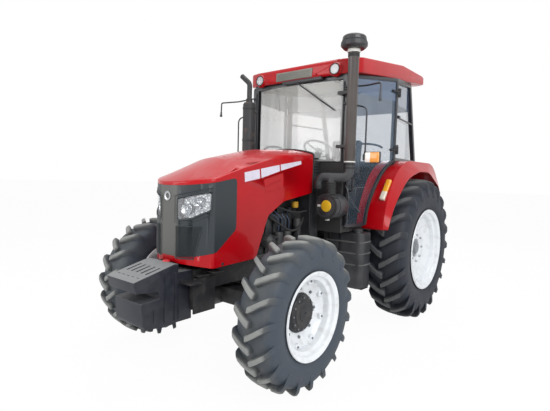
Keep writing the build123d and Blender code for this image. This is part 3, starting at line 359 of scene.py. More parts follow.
# lugs a side, rubber, dusty rubber, scuffed tops of the lugs
TYRES = {
    "front": (19, tint(62, 70, 80), tint(84, 86, 86), tint(138, 140, 138)),
    "rear": (22, tint(34, 39, 49), tint(46, 48, 53), tint(84, 85, 86)),
}
for end, (count, rubber, dusty, scuffed) in TYRES.items():
    low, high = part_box(f"{end}_tyre_left")
    hub = (low + high) / 2
    reach = (high.z - low.z) / 2
    wide = (high.y - low.y) / 2
    outline = [(share * wide, r * reach) for share, r in CASING]
    outline += [(-a, r) for a, r in reversed(outline[:-1])]
    casing = turned(outline, hub, steps=96)

    # one lug, drawn straight over the top of the tyre and then swept back ring by ring
    across = LUG[0][0]
    bpy.ops.object.select_all(action="DESELECT")
    start = hub + Vector((0, across * wide, 0))
    bpy.ops.mesh.primitive_plane_add(size=1, location=start, rotation=(math.pi / 2, 0, 0))
    lug = bpy.context.object
    bpy.ops.object.transform_apply()
    bpy.ops.object.mode_set(mode="EDIT")
    for here, there in zip(LUG, LUG[1:]):
        step = (0, (there[0] - here[0]) * wide, 0)
        bpy.ops.mesh.extrude_region_move(TRANSFORM_OT_translate={"value": step})
    bpy.ops.object.mode_set(mode="OBJECT")
    rows = [hub.y + row[0] * wide for row in LUG]
    order = []
    for point in lug.data.vertices:
        order.append(min(range(len(rows)), key=lambda n: (abs(point.co.y - rows[n]), n)))
    taken = {}
    for n, (share, back, base, top, half) in enumerate(LUG):
        for upper in (False, True):
            ring = [p.index for p, row in zip(lug.data.vertices, order)
                    if row == n and (p.co.z > hub.z) == upper]
            for index in ring:
                side = 1 if lug.data.vertices[index].co.x > hub.x else -1
                width = side * half * reach * (1 if upper else 1.3)
                height = (top if upper else base) * reach
                spot = Vector((width, 0, height))
                spot.rotate(Matrix.Rotation(-back, 3, "Y"))
                taken[index] = Vector((hub.x + spot.x, rows[n], hub.z + spot.z))
    for index, spot in taken.items():
        lug.data.vertices[index].co = spot
    close_up(lug, FINE_GAP)
    modify(lug, "BEVEL", width=0.005, segments=1, limit_method="ANGLE", angle_limit=math.radians(30))
    pick(lug)
    for n in range(count - 1):
        bpy.ops.mesh.duplicate()
        bpy.ops.transform.rotate(value=2 * math.pi / count, orient_axis="Y", center_override=hub)
    bpy.ops.mesh.select_all(action="SELECT")
    bpy.ops.mesh.duplicate()
    bpy.ops.transform.resize(value=(1, -1, 1), center_override=hub)
    bpy.ops.transform.rotate(value=math.pi / count, orient_axis="Y", center_override=hub)
    bpy.ops.object.mode_set(mode="OBJECT")
    close_up(lug, FINE_GAP)
    tyre = joined([casing, lug])

    rubber_finish = Finish(f"{end} tyre rubber", roughness=0.62, Specular_IOR_Level=0.35)
    out = ((rubber_finish.axis("X") - hub.x) ** 2 + (rubber_finish.axis("Z") - hub.z) ** 2) ** 0.5
    patches = rubber_finish.noise(9, 6)
    paler_share = rubber_finish.ramp(out + (patches - 0.5) * 0.10, reach * 0.86, reach * 0.97)
    grain = rubber_finish.noise(180, 3)
    shade = rubber_finish.mix(paler_share, rubber, dusty)
    shade = rubber_finish.mix(rubber_finish.ramp(patches, 0.45, 0.8) * 0.35, shade, dusty)
    tops = rubber_finish.ramp(out + (patches - 0.5) * 0.02, reach * 0.955, reach * 0.985)
    shade = rubber_finish.mix(tops * (0.55 + 0.6 * patches), shade, scuffed)
    rubber_finish.feed(Base_Color=shade, Roughness=0.5 + 0.25 * patches)
    rings = rubber_finish.wave("SINE", out * 260)
    walls = rubber_finish.ramp(out, reach * 0.78, reach * 0.72)
    rubber_finish.bump(grain * 0.3 + rings * walls * 0.25, 0.002, 0.5)
    pair(tyre, f"{end}_tyre_casing", f"{end}_wheel", rubber_finish, 40, f"{end}_tyre")

# --------------------------------------------------
# Rims: pressed steel in white paint, a flanged band with a dished disc clamped
# inside it. The front hubs are black planetary housings, the rear ones plain.


def bolts(places, direction, size, depth, sides=6):
    """Hexagon heads at several places, standing along a direction."""
    bpy.ops.object.select_all(action="DESELECT")
    made = []
    lean = Vector(direction).to_track_quat("Z", "Y").to_euler()
    for place in places:
        bpy.ops.mesh.primitive_cylinder_add(
            vertices=sides, radius=size, depth=depth, location=place, rotation=lean
        )
        head = bpy.context.object
        bpy.ops.object.transform_apply()
        made.append(head)
    heads = joined(made)
    return modify(heads, "BEVEL", width=size * 0.12, segments=1, limit_method="ANGLE", angle_limit=0.9)


def ring_of(centre, outward, radius, count, start=0.0):
    """Places evenly round a wheel's axle, some way out along it."""
    turns = [start + 2 * math.pi * n / count for n in range(count)]
    return [centre + Vector((radius * math.cos(a), outward, radius * math.sin(a))) for a in turns]


def block(low, high, bevel=0.004, segments=2):
    """A box between two corners with eased edges."""
    low, high = Vector(low), Vector(high)
    bpy.ops.object.select_all(action="DESELECT")
    bpy.ops.mesh.primitive_cube_add(size=1, location=(low + high) / 2, scale=high - low)
    piece = bpy.context.object
    bpy.ops.object.transform_apply()
    if bevel:
        modify(piece, "BEVEL", width=bevel, segments=segments, limit_method="ANGLE")
    return piece


def rod(start, end, radius, sides=20, bevel=0.0):
    """A round bar from one point to another."""
    run = Vector(end) - Vector(start)
    bpy.ops.object.select_all(action="DESELECT")
    bpy.ops.mesh.primitive_cylinder_add(
        vertices=sides, radius=radius, depth=run.length, location=(Vector(start) + Vector(end)) / 2,
        rotation=run.to_track_quat("Z", "Y").to_euler(),
    )
    piece = bpy.context.object
    bpy.ops.object.transform_apply()
    if bevel:
        modify(piece, "BEVEL", width=bevel, segments=2, limit_method="ANGLE")
    return piece


def weathered(name, patches, colours, rough, grain, span=None, **constants):
    """A finish whose colour and roughness drift in patches, over a fine grain."""
    made = Finish(name, **constants)
    tone = made.noise(*patches)
    share = made.ramp(tone, *span) if span else tone
    made.feed(Base_Color=made.mix(share, *colours), Roughness=rough[0] + rough[1] * tone)
    scale, detail, depth = grain
    return made.bump(made.noise(scale, detail), depth)


def even(name, colour, patches, rough, grain=None, **constants):
    """A finish of one colour whose roughness alone drifts."""
    made = Finish(name, colour, **constants)
    made.feed(Roughness=rough[0] + rough[1] * made.noise(*patches))
    if grain:
        scale, detail, depth = grain
        made.bump(made.noise(scale, detail), depth)
    return made


white_paint = Finish("white wheel paint", roughness=0.34, Coat_Weight=0.4, Coat_Roughness=0.15)
spots = white_paint.noise(14, 6)
dirt = white_paint.ramp(spots, 0.52, 0.78)
white_paint.feed(
    Base_Color=white_paint.mix(dirt * 0.45, tint(226, 230, 234), tint(168, 164, 156)),
    Roughness=0.3 + 0.3 * dirt,
)
white_paint.bump(white_paint.noise(60, 3), 0.0006)

black_casting = weathered("black painted casting", (11, 7), (tint(27, 28, 32), tint(62, 60, 58)),
                          (0.38, 0.35), (150, 4, 0.0012), (0.45, 0.8))
bright_steel = even("bright plated steel", tint(178, 180, 184), (40, 5), (0.22, 0.3), Metallic=0.85)
worn_zinc = even("worn zinc", tint(112, 116, 122), (60, 4), (0.4, 0.3), Metallic=0.4)
hub_grey = even("grey hub paint", tint(128, 132, 136), (30, 4), (0.35, 0.3), (120, 3, 0.0008))

# outward of the track's middle, radius; the band first and then the disc inside it
FRONT_BAND = [
    (-0.152, 0.331), (-0.158, 0.322), (-0.150, 0.306), (-0.122, 0.297), (-0.108, 0.268), (0.060, 0.262),
    (0.108, 0.272), (0.122, 0.297), (0.146, 0.304), (0.157, 0.318), (0.158, 0.329), (0.150, 0.333),
]
REAR_BAND = [
    (-0.203, 0.458), (-0.209, 0.448), (-0.200, 0.432), (-0.168, 0.424), (-0.150, 0.392), (0.110, 0.386),
    (0.150, 0.398), (0.168, 0.424), (0.198, 0.431), (0.208, 0.446), (0.209, 0.456), (0.200, 0.461),
]
FRONT_DISC = [
    (0.052, 0.263), (0.060, 0.246), (0.034, 0.226), (0.012, 0.190), (0.006, 0.140), (0.006, 0.05),
    (-0.004, 0.05), (-0.004, 0.142), (0.002, 0.196), (0.024, 0.232), (0.044, 0.255),
]
REAR_DISC = [
    (0.098, 0.388), (0.104, 0.366), (0.070, 0.330), (0.052, 0.280), (0.050, 0.232), (0.072, 0.216),
    (0.078, 0.200), (0.078, 0.120), (0.070, 0.110), (0.046, 0.106), (0.046, 0.04), (0.036, 0.04),
    (0.036, 0.112), (0.062, 0.122), (0.064, 0.200), (0.058, 0.210), (0.040, 0.224), (0.040, 0.284),
    (0.060, 0.338), (0.090, 0.372),
]
# rings of the hub housing: outward of the track's middle, radius
FRONT_HUB = [
    (-0.03, 0.0), (-0.03, 0.150), (0.016, 0.150), (0.022, 0.146), (0.026, 0.138), (0.042, 0.136),
    (0.047, 0.130), (0.050, 0.100), (0.056, 0.096), (0.058, 0.056), (0.064, 0.052), (0.066, 0.018),
    (0.060, 0.012), (0.060, 0.0),
]
REAR_HUB = [
    (0.0, 0.0), (0.0, 0.104), (0.054, 0.104), (0.060, 0.098), (0.060, 0.062), (0.090, 0.054),
    (0.094, 0.046), (0.094, 0.0),
]
# band, disc, hub, wheel bolts' circle and seat, valve, finishes of the hub and the bolts
RIMS = {
    "front": (FRONT_BAND, FRONT_DISC, FRONT_HUB, 0.186, 0.012, (0.19, 0.065, 0.165),
              black_casting, worn_zinc),
    "rear": (REAR_BAND, REAR_DISC, REAR_HUB, 0.152, 0.086, (0.30, 0.09, 0.23),
             hub_grey, bright_steel),
}
BOLT_COUNT = 8
CLAMP_CIRCLE, CLAMP_START = 0.243, 0.3
RIB_CIRCLE, RIB_COUNT = 0.120, 12
for end, (band, disc, hub_rings, bolt_circle, seat, valve, hub_finish, bolt_finish) in RIMS.items():
    wheel = f"{end}_wheel"
    low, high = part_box(f"{end}_tyre_left")
    hub = (low + high) / 2
    outer = turned(band + [(a * 0.97, r - 0.008) for a, r in reversed(band)], hub, steps=96)
    dish = turned(disc, hub, steps=96)
    clamps = []
    if end == "front":
        for place in ring_of(hub, 0.045, CLAMP_CIRCLE, BOLT_COUNT, CLAMP_START):
            low, high = place - Vector((0.022, 0.012, 0.022)), place + Vector((0.022, 0.016, 0.022))
            clamps.append(block(low, high, 0.006))
    rim = joined([outer, dish] + clamps)
    pair(rim, f"{end}_rim_pressing", wheel, white_paint, 30, f"{end}_rim")

    body = turned(hub_rings, hub, steps=64, closed=False)
    ribs = []
    if end == "front":
        for place in ring_of(hub, 0.034, RIB_CIRCLE, RIB_COUNT):
            ribs.append(rod(place - Vector((0, 0.02, 0)), place + Vector((0, 0.016, 0)), 0.011, 12, 0.002))
    body = joined([body] + ribs)
    pair(body, f"{end}_hub_housing", wheel, hub_finish, 30)

    heads = [bolts(ring_of(hub, seat, bolt_circle, BOLT_COUNT), (0, 1, 0), 0.013, 0.022)]
    if end == "front":
        studs = ring_of(hub, 0.062, CLAMP_CIRCLE, BOLT_COUNT, CLAMP_START)
        heads.append(bolts(studs, (0, 1, 0), 0.009, 0.010))
        heads.append(bolts(ring_of(hub, 0.052, RIB_CIRCLE, RIB_COUNT), (0, 1, 0), 0.0075, 0.010))
    valve = hub + Vector(valve)
    heads.append(rod(valve, valve + Vector((0.01, 0.05, 0.01)), 0.006, 10))
    pair(joined(heads), f"{end}_wheel_bolts", wheel, bolt_finish)

# --------------------------------------------------
# Front axle, knuckles and steering: black painted castings with bolted covers,
# a plated steering rod and two oil hoses to the steering cylinder.


def hose(points, radius, rings=6, order=3):
    """A smooth tube along a route."""
    curve = bpy.data.curves.new("route", "CURVE")
    curve.dimensions = "3D"
    spline = curve.splines.new("NURBS" if order > 2 else "POLY")
    spline.points.add(len(points) - 1)
    for point, place in zip(spline.points, points):
        point.co = (*place, 1)
    if order > 2:
        spline.order_u = order
        spline.use_endpoint_u = True
    curve.resolution_u = rings
    curve.bevel_depth = radius
    curve.bevel_resolution = 3
    curve.use_fill_caps = True
    piece = bpy.data.objects.new("route", curve)
    bpy.context.scene.collection.objects.link(piece)
    alone(piece)
    bpy.ops.object.convert(target="MESH")
    return close_up(bpy.context.object, FINE_GAP)


def clip(centre, start, stop, radius, rise, axis="Z", steps=40, ease=0.002):
    """A clamp ring round a pipe, from one place along it to another."""
    section = [(start, radius), (start + ease, radius + rise), (stop - ease, radius + rise), (stop, radius)]
    return turned(section, centre, axis, steps)


def spoke(radius, share, along=0.0, axis="Z"):
    """A step out from an axis at a share of a full turn, and some way along it."""
    a = share * 2 * math.pi
    c, d = radius * math.cos(a), radius * math.sin(a)
    return Vector((c, d, along) if axis == "Z" else (along, c, d))


black_casting.on("front_axle", "knuckle_left", "knuckle_right", "rear_axle", "front_frame")
bright_steel.on("steering_rod", "pto_shaft", "drive_shaft")

low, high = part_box("front_tyre_left")
axle = Vector(((low.x + high.x) / 2, 0, 0.58))
cover = turned([(0.138, 0), (0.138, 0.085), (0.146, 0.098), (0.128, 0.104), (0.12, 0)], axle, "X", 48, False)
heads = [cover, bolts([axle + spoke(0.088, n / 10, 0.142, "X") for n in range(10)], (1, 0, 0), 0.009, 0.012)]
for side in SIDES:
    for x in (-0.04, 0.04):
        foot = axle + Vector((x, side * 0.25, 0.062))
        heads.append(rod(foot, foot + Vector((0, 0, 0.013)), 0.012, 6))
    for end in (1, -1):
        lid = [(end * 0.124, 0), (end * 0.124, 0.046), (end * 0.142, 0.040), (end * 0.146, 0)]
        heads.append(turned(lid, axle + Vector((0, side * 0.62, 0)), "Z", 32, False))
fixed(heads, "axle_covers", black_casting)

black_rubber = weathered("black rubber", (25, 5), (tint(20, 20, 22), tint(40, 40, 42)),
                         (0.55, 0.3), (200, 2, 0.0006))
lines = []
for y, lift in ((-0.15, 0.02), (0.12, 0.05)):
    route = [(-0.155, y, 0.055), (-0.165, y, 0.13 + lift), (-0.24, y * 0.7, 0.20 + lift),
             (-0.36, y * 0.5, 0.16), (-0.55, y * 0.4, 0.10)]
    lines.append(hose([axle + Vector(step) for step in route], 0.009))
fixed(lines, "steering_oil_hoses", black_rubber)

# --------------------------------------------------
# Nose weights: cast slabs hung side by side on the front frame, with carrying slots
# and dark blue-black flanks; grey tops, partly scuffs and partly painted light from
# above, dark plates of painted shade in the slots, and a red locking pin.


def copied(node, bevel=0.0, segments=3, angle=25):
    """A merged copy of a CAD node's shape, with its sharp edges eased."""
    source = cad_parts[node]
    piece = bpy.data.objects.new(node + "_copy", source.data.copy())
    bpy.context.scene.collection.objects.link(piece)
    pick(piece)
    bpy.ops.mesh.remove_doubles(threshold=0.00005)
    bpy.ops.mesh.dissolve_limited(angle_limit=math.radians(1.0), delimit=set())
    bpy.ops.object.mode_set(mode="OBJECT")
    if bevel:
        modify(piece, "BEVEL", width=bevel, segments=segments, limit_method="ANGLE",
               angle_limit=math.radians(angle), use_clamp_overlap=True)
    return piece


weight_paint = Finish("weight paint", roughness=0.5)
scuff = weight_paint.noise(16, 8)
up = weight_paint.upward()
# Faces that look up turn grey, broken by scuffs: partly scuffed wear and partly painted light from above. The
# darker grey on upward faces below the top slab is painted shade.
paler_share = weight_paint.ramp(up + (scuff - 0.5) * 0.5, 0.35, 0.7)
flank = weight_paint.mix(weight_paint.ramp(scuff, 0.4, 0.75), tint(24, 27, 38), tint(44, 46, 54))
top_slab = weight_paint.ramp(weight_paint.axis("Z"), 0.74, 0.76)
grey = weight_paint.mix(top_slab, tint(66, 67, 71), tint(126, 127, 129))
weight_paint.feed(Base_Color=weight_paint.mix(paler_share, flank, grey), Roughness=0.4 + 0.3 * scuff)
weight_paint.bump(weight_paint.noise(90, 5), 0.0015)

low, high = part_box("front_weights")
slabs = copied("front_weights", 0.004, 2)
fixed(slabs, "nose_weight_slabs", weight_paint, 30, ["front_weights"])

# Dark plates low in the carrying slots: painted shade inside them.
slot_shade_plates = []
for n in range(5):
    y = (n - 2) * 0.060
    slot_shade_plates.append(block((high.x - 0.108, y - 0.016, 0.846), (high.x - 0.062, y + 0.016, 0.859), 0.002))
fixed(slot_shade_plates, "weight_slot_shade_plates", black_rubber)
flank_ribs = []
for side in SIDES:
    for x, top, foot in ((0.12, 0.86, 0.50), (0.155, 0.86, 0.50), (0.245, 0.87, 0.50), (0.335, 0.62, 0.52)):
        start = low.x + x
        flank_ribs.append(block((start, side * 0.1705, foot), (start + 0.005, side * 0.1755, top), 0.001))
fixed(flank_ribs, "weight_flank_ribs", weight_paint)

brackets = [
    block((1.58, 0.173, 0.775), (1.72, 0.30, 0.787), 0.002),
    block((1.40, 0.205, 0.52), (1.62, 0.222, 0.80), 0.006),
    block((1.62, 0.185, 0.56), (1.632, 0.235, 0.775), 0.002),
    block((1.40, 0.19, 0.835), (1.50, 0.32, 0.845), 0.002),
    block((1.41, 0.19, 0.68), (1.50, 0.202, 0.835), 0.002),
]
brackets += [mirrored(piece) for piece in brackets]
fixed(brackets, "nose_brackets", black_casting)

red_pin = even("red pin paint", tint(190, 30, 38), (40, 4), (0.3, 0.3), (90, 3, 0.0006), Coat_Weight=0.5)
pin = turned([(0.0, 0.0), (0.0, 0.022), (0.012, 0.030), (0.020, 0.030), (0.030, 0.022), (0.034, 0.0)],
             (1.732, 0.03, 0.905), "Z", 32, False)
fixed(pin, "weight_locking_pin", red_pin)

# --------------------------------------------------
# Engine and gearbox: castings under the hood with a ribbed valve cover, belt
# pulleys, filters, an injection pump and its pipes, and a radiator ahead.

iron = weathered("engine casting", (12, 8), (tint(22, 24, 28), tint(66, 66, 66)),
                 (0.35, 0.4), (110, 5, 0.0015), (0.4, 0.75))
iron.on("engine", "transmission", "radiator")

low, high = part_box("engine")
side_y = high.y
parts = []
for n in range(6):
    x = low.x + 0.08 + n * 0.11
    parts.append(block((x, side_y, 0.90), (x + 0.022, side_y + 0.018, 1.21), 0.005))
for n in range(4):
    x = low.x + 0.06 + n * 0.17
    parts.append(block((x, side_y - 0.07, 1.252), (x + 0.12, side_y - 0.01, 1.30), 0.008))
parts.append(block((low.x + 0.03, side_y, 0.87), (high.x - 0.04, side_y + 0.03, 0.905), 0.008))
parts.append(turned([(0, 0), (0, 0.062), (0.05, 0.066), (0.09, 0.06), (0.12, 0.03), (0.12, 0)],
                    (low.x + 0.55, side_y, 1.02), "Y", 40, False))
for x in (low.x + 0.28, low.x + 0.40):
    can = [(0, 0), (0, 0.045), (0.14, 0.045), (0.15, 0.04), (0.15, 0)]
    parts.append(turned(can, (x, side_y + 0.05, 0.94), "Z", 32, False))
parts.append(rod((low.x + 0.12, side_y + 0.05, 1.00), (low.x + 0.12, side_y + 0.05, 1.20), 0.038, 24, 0.004))
fixed(parts, "engine_left_fittings", iron)

blue = even("fuel pipe", tint(70, 84, 110), (50, 3), (0.3, 0.3), Metallic=0.5)
pipes = []
for n in range(4):
    pump_x = low.x + 0.25 + n * 0.05
    head_x = low.x + 0.12 + n * 0.16
    pipes.append(hose([
        (pump_x, side_y + 0.05, 1.10), (pump_x, side_y + 0.06, 1.19), (pump_x + 0.03, side_y + 0.03, 1.24),
        (head_x, side_y - 0.02, 1.31), (head_x, side_y - 0.05, 1.30),
    ], 0.004))
fixed(pipes, "injection_pipes", blue)

yellow = Finish("yellow fuel bowl", tint(190, 148, 40), 0.35)
yellow.feed(Base_Color=yellow.mix(yellow.noise(30, 4), tint(204, 160, 44), tint(150, 110, 30)))
yellow.bump(yellow.noise(70, 3), 0.0008)
bowl = turned([(0, 0), (0, 0.030), (0.02, 0.034), (0.05, 0.034), (0.058, 0.028), (0.058, 0)],
              (0.425, 0.262, 1.300), "Z", 32, False)
fixed(bowl, "fuel_filter_bowl", yellow)

loops = [
    hose([(0.34, 0.30, 1.20), (0.42, 0.34, 1.12), (0.56, 0.33, 1.08), (0.70, 0.30, 1.16),
          (0.78, 0.25, 1.22)], 0.011),
    hose([(0.35, 0.27, 1.02), (0.46, 0.33, 0.98), (0.62, 0.33, 1.02), (0.84, 0.29, 1.06)], 0.014),
    hose([(0.33, 0.33, 1.27), (0.48, 0.32, 1.25), (0.66, 0.29, 1.30), (0.82, 0.23, 1.36)], 0.009),
    hose([(0.9, 0.24, 1.30), (1.0, 0.25, 1.32), (1.08, 0.22, 1.30), (1.16, 0.16, 1.28)], 0.028),
    hose([(0.9, 0.22, 0.95), (1.0, 0.26, 0.90), (1.10, 0.24, 0.94), (1.17, 0.18, 1.0)], 0.028),
]
fixed(loops, "engine_hoses", black_rubber)

front_x = high.x
drive = []
for y, z, r in ((0.0, 0.98, 0.10), (0.14, 1.18, 0.045), (0.0, 1.22, 0.075)):
    drive.append(turned([(0, 0), (0, r), (0.006, r), (0.014, r - 0.012), (0.022, r), (0.028, r), (0.028, 0)],
                        (front_x, y, z), "X", 40, False))
fixed(drive, "belt_pulleys", iron)

BOX_SIDE = 0.19
lumps = []
for side in SIDES:
    near, far = sorted((side * BOX_SIDE, side * (BOX_SIDE + 0.015)))
    for x in (-0.72, -0.50, -0.28, -0.02, 0.20):
        lumps.append(block((x, near, 0.52), (x + 0.02, far, 0.89), 0.004))
    lumps.append(block((-0.84, side * BOX_SIDE - 0.012, 0.50), (0.29, side * BOX_SIDE + 0.012, 0.53), 0.004))
fixed(lumps, "gearbox_ribs", iron)
plugs = []
for side in SIDES:
    for place in ring_of(Vector((-1.15, 0, 0.806)), side * 0.27, 0.13, 10):
        plugs.append(rod(place, place + Vector((0, side * 0.015, 0)), 0.011, 6))
fixed(plugs, "rear_axle_bolts", black_casting)

# --------------------------------------------------
# Fuel tank on the left and battery box on the right: rotomoulded black plastic
# with raised ribs and a filler cap; steel steps with grip bars on the right.

moulded = weathered("moulded black plastic", (7, 6), (tint(36, 37, 41), tint(66, 67, 70)),
                    (0.34, 0.25), (260, 2, 0.0006), (0.35, 0.8))
rib_plastic = weathered("scuffed plastic ribs", (20, 5), (tint(70, 71, 74), tint(104, 104, 104)),
                        (0.4, 0.3), (200, 2, 0.0006))

tank = copied("fuel_tank", 0.006, 2)
fixed(tank, "fuel_tank_shell", moulded, 35, ["fuel_tank"])
low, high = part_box("fuel_tank")
bands = []
for z in (0.955, 0.840, 0.725):
    corner = Vector((high.x, high.y, z))
    route = [(-0.205, -0.01, 0), (-0.19, 0.001, 0), (-0.065, 0.001, 0), (-0.018, -0.018, 0),
             (0.001, -0.06, 0), (0.001, low.y + 0.13 - high.y, 0)]
    bands.append(hose([corner + Vector(step) for step in route], 0.009, 8, 4))
fixed(bands, "fuel_tank_ribs", rib_plastic)
cap_place = Vector((high.x - 0.055, high.y - 0.075, 1.062))
cap = turned([(0, 0), (0, 0.043), (0.018, 0.045), (0.024, 0.040), (0.026, 0.0)], cap_place, "Z", 36, False)
grips = [rod(cap_place + spoke(0.044, n / 12, 0.002), cap_place + spoke(0.044, n / 12, 0.019), 0.004, 8)
         for n in range(12)]
fixed([cap] + grips, "fuel_cap", moulded)
straps = []
for y in (0.34, 0.47):
    straps.append(block((high.x - 0.002, y, 0.50), (high.x + 0.003, y + 0.035, 1.05), 0.001))
fixed(straps, "fuel_tank_straps", black_casting)

step_plate = block((high.x - 0.175, 0.56, 0.478), (high.x - 0.03, high.y + 0.004, 0.484), 0.001)
fixed(step_plate, "tank_guard_plate", black_casting)

moulded.on("battery_box")
low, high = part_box("battery_box")
treads = []
for z in (0.498, 0.703, 0.903):
    for n in range(6):
        x = low.x + 0.022 + n * 0.032
        treads.append(block((x, low.y + 0.012, z), (x + 0.006, low.y + 0.165, z + 0.006), 0.001))
for z in (0.62, 0.76):
    treads.append(block((high.x, -0.50, z), (high.x + 0.004, -0.30, z + 0.012), 0.001))
fixed(treads, "battery_step_treads", black_casting)

# --------------------------------------------------
# Hood: one-piece pressed steel cover in glossy red, with a recessed vent in
# each flank, three pale stripes, a blank nose badge and a seal at its back.


def ease(piece, width, least, most, segments=3):
    """Rounds the edges whose two faces turn by an angle between two values."""
    facing = {}
    for face in piece.data.polygons:
        for key in face.edge_keys:
            facing.setdefault(key, []).append(face.normal.copy())
    pick(piece, False)
    bpy.ops.mesh.select_mode(type="EDGE")
    bpy.ops.object.mode_set(mode="OBJECT")
    for edge in piece.data.edges:
        beside = facing.get(edge.key, [])
        if len(beside) == 2:
            edge.select = least < math.degrees(beside[0].angle(beside[1], 0)) < most
    bpy.ops.object.mode_set(mode="EDIT")
    bpy.ops.mesh.bevel(offset=width, segments=segments, affect="EDGES")
    bpy.ops.object.mode_set(mode="OBJECT")
    return piece


def plate(points, depth):
    """A flat outline given a thickness along a direction."""
    piece = drawn(points, True)
    bpy.ops.object.mode_set(mode="EDIT")
    bpy.ops.mesh.select_all(action="SELECT")
    bpy.ops.mesh.extrude_region_move(TRANSFORM_OT_translate={"value": depth})
    bpy.ops.object.mode_set(mode="OBJECT")
    return close_up(piece, FINE_GAP)


def cut(piece, tool):
    """Takes one closed mesh out of another."""
    modify(piece, "BOOLEAN", operation="DIFFERENCE", object=tool, solver="EXACT")
    bpy.data.objects.remove(tool)
    return piece


gloss = {"Coat_Weight": 0.45, "Coat_Roughness": 0.05, "Coat_IOR": 1.4, "Specular_IOR_Level": 0.2}
red_paint = Finish("red paint", **gloss)
film = red_paint.noise(5, 6)
above = red_paint.upward()
# Upward faces are mixed a little towards pink, in patches: a painted highlight from the light above.
painted_top_sheen = red_paint.ramp(above, 0.35, 1.0) * red_paint.ramp(film, 0.35, 0.75)
plain_red = red_paint.mix(film, tint(184, 0, 14), tint(160, 0, 13))
red_paint.feed(Base_Color=red_paint.mix(painted_top_sheen * 0.16, plain_red, tint(206, 132, 136)),
               Roughness=0.26 + 0.16 * film)
red_paint.bump(red_paint.noise(300, 2), 0.00012, 0.3)


def flank(x):
    """Half width of the hood's side at a place along it."""
    return 0.352 - (x - 0.22) * 0.0038 if x < 0.75 else 0.350 - (x - 0.75) * 0.010


VENT = [(0.986, 1.560), (0.958, 1.452), (0.712, 1.494), (0.726, 1.626)]
STRIPES = [
    [(1.215, 1.540), (1.222, 1.616), (1.046, 1.648), (1.034, 1.572)],
    [(1.018, 1.575), (1.028, 1.652), (0.788, 1.694), (0.776, 1.640)],
    [(0.762, 1.644), (0.772, 1.697), (0.470, 1.744), (0.462, 1.714)],
]
hood = copied("hood")
ease(hood, 0.012, 11, 78)
for side in SIDES:
    cutter = plate([(x, side * (flank(x) - 0.0035), z) for x, z in VENT], (0, side * 0.02, 0))
    cut(hood, cutter)
settle(hood, "hood_cover", "hood", red_paint, 28, ["hood"])

louvres = []
for side in SIDES:
    for share in (0.42, 0.5):
        (xa, za), (xb, zb), (xc, zc), (xd, zd) = VENT
        start = Vector((xa + (xb - xa) * share - 0.03, side * (flank(xa) - 0.003), za + (zb - za) * share))
        stop = Vector((xd + (xc - xd) * share + 0.03, side * (flank(xc) - 0.003), zd + (zc - zd) * share))
        louvres.append(rod(start, stop, 0.0034, 10))
    louvres.append(hose([(x, side * (flank(x) - 0.0012), z) for x, z in VENT + VENT[:1]], 0.0026, 2, 2))
settle(louvres, "hood_vent_louvres", "hood", red_paint)

stripe_film = Finish("pale stripe film", roughness=0.35, Coat_Weight=0.6)
pale = stripe_film.mix(stripe_film.noise(20, 4), tint(226, 220, 234), tint(196, 190, 208))
stripe_film.feed(Base_Color=pale)
stripe_film.bump(stripe_film.noise(200, 2), 0.0001)
films = []
for side in SIDES:
    for outline in STRIPES:
        films.append(plate([(x, side * (flank(x) + 0.0002), z) for x, z in outline], (0, side * 0.0008, 0)))
settle(films, "hood_stripes", "hood", stripe_film)

badge = turned([(0, 0.020), (0, 0.036), (0.004, 0.037), (0.007, 0.034), (0.006, 0.028), (0.003, 0.020)],
               (1.7005, 0, 1.421), "X", 40)
settle(badge, "blank_nose_badge", "hood", bright_steel)

seal_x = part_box("hood")[0].x - 0.006
edge = [(0.350, 1.46), (0.352, 1.60), (0.353, 1.72), (0.353, 1.815), (0.335, 1.828), (0.20, 1.858)]
edge += [(0, 1.874)] + [(-y, z) for y, z in reversed(edge)]
seal = hose([(seal_x, y, z) for y, z in edge], 0.010, 4, 3)
settle(seal, "hood_rear_seal", "hood", black_rubber)

screws = [bolts([(1.440, side * 0.338, 0.905)], (0, side, 0), 0.014, 0.012) for side in SIDES]
settle(screws, "hood_screws", "hood", black_casting)

# --------------------------------------------------
# Grille and headlights: a dark moulded nose with a fine mesh below, grey lamp
# surrounds, and clear lamps with bright reflectors inside.

NOSE_RADIUS = 0.4167
NOSE_CENTRE = 1.2833


def nose(y, out=0.0):
    """How far forward the nose's face stands at a place across it."""
    return NOSE_CENTRE + math.sqrt(NOSE_RADIUS ** 2 - y * y) + out


grille_plastic = Finish("grille plastic", roughness=0.45)
across = grille_plastic.axis("Y")
tone = grille_plastic.noise(6, 5)
side_share = grille_plastic.ramp(grille_plastic.wave("ABSOLUTE", across), 0.085, 0.12)
grille_plastic.feed(
    Base_Color=grille_plastic.mix(side_share, tint(86, 87, 84), tint(38, 45, 50)),
    Roughness=0.36 + 0.2 * tone,
)
grille_plastic.bump(grille_plastic.noise(240, 2), 0.0005)
nose_panel = copied("grille")
ease(nose_panel, 0.004, 15, 78, 2)
settle(nose_panel, "nose_panel", "hood", grille_plastic, 28, ["grille"])

mesh_plastic = even("grille mesh plastic", tint(44, 48, 52), (30, 3), (0.4, 0.3), (200, 2, 0.0004))
nets = []
for side in SIDES:
    bpy.ops.object.select_all(action="DESELECT")
    bpy.ops.mesh.primitive_grid_add(x_subdivisions=20, y_subdivisions=26, size=1, location=(0, 0, 0))
    net = bpy.context.object
    for point in net.data.vertices:
        share, z = point.co.x + 0.5, 1.075 + point.co.y * 0.24
        y = 0.095 + share * (0.155 + (z - 1.075) * 0.22)
        point.co = (nose(y, 0.0025), side * y, z)
    modify(net, "WIREFRAME", thickness=0.0028, use_even_offset=False)
    nets.append(net)
settle(nets, "grille_net", "hood", mesh_plastic)


def wrapped(points, side, out):
    """A line through places given across and up, laid on the nose."""
    line = []
    for (ya, za), (yb, zb) in zip(points, points[1:] + points[-1:]):
        for n in range(5):
            y = ya + (yb - ya) * n / 5
            line.append((nose(y, out), side * y, za + (zb - za) * n / 5))
    return line[:-4]


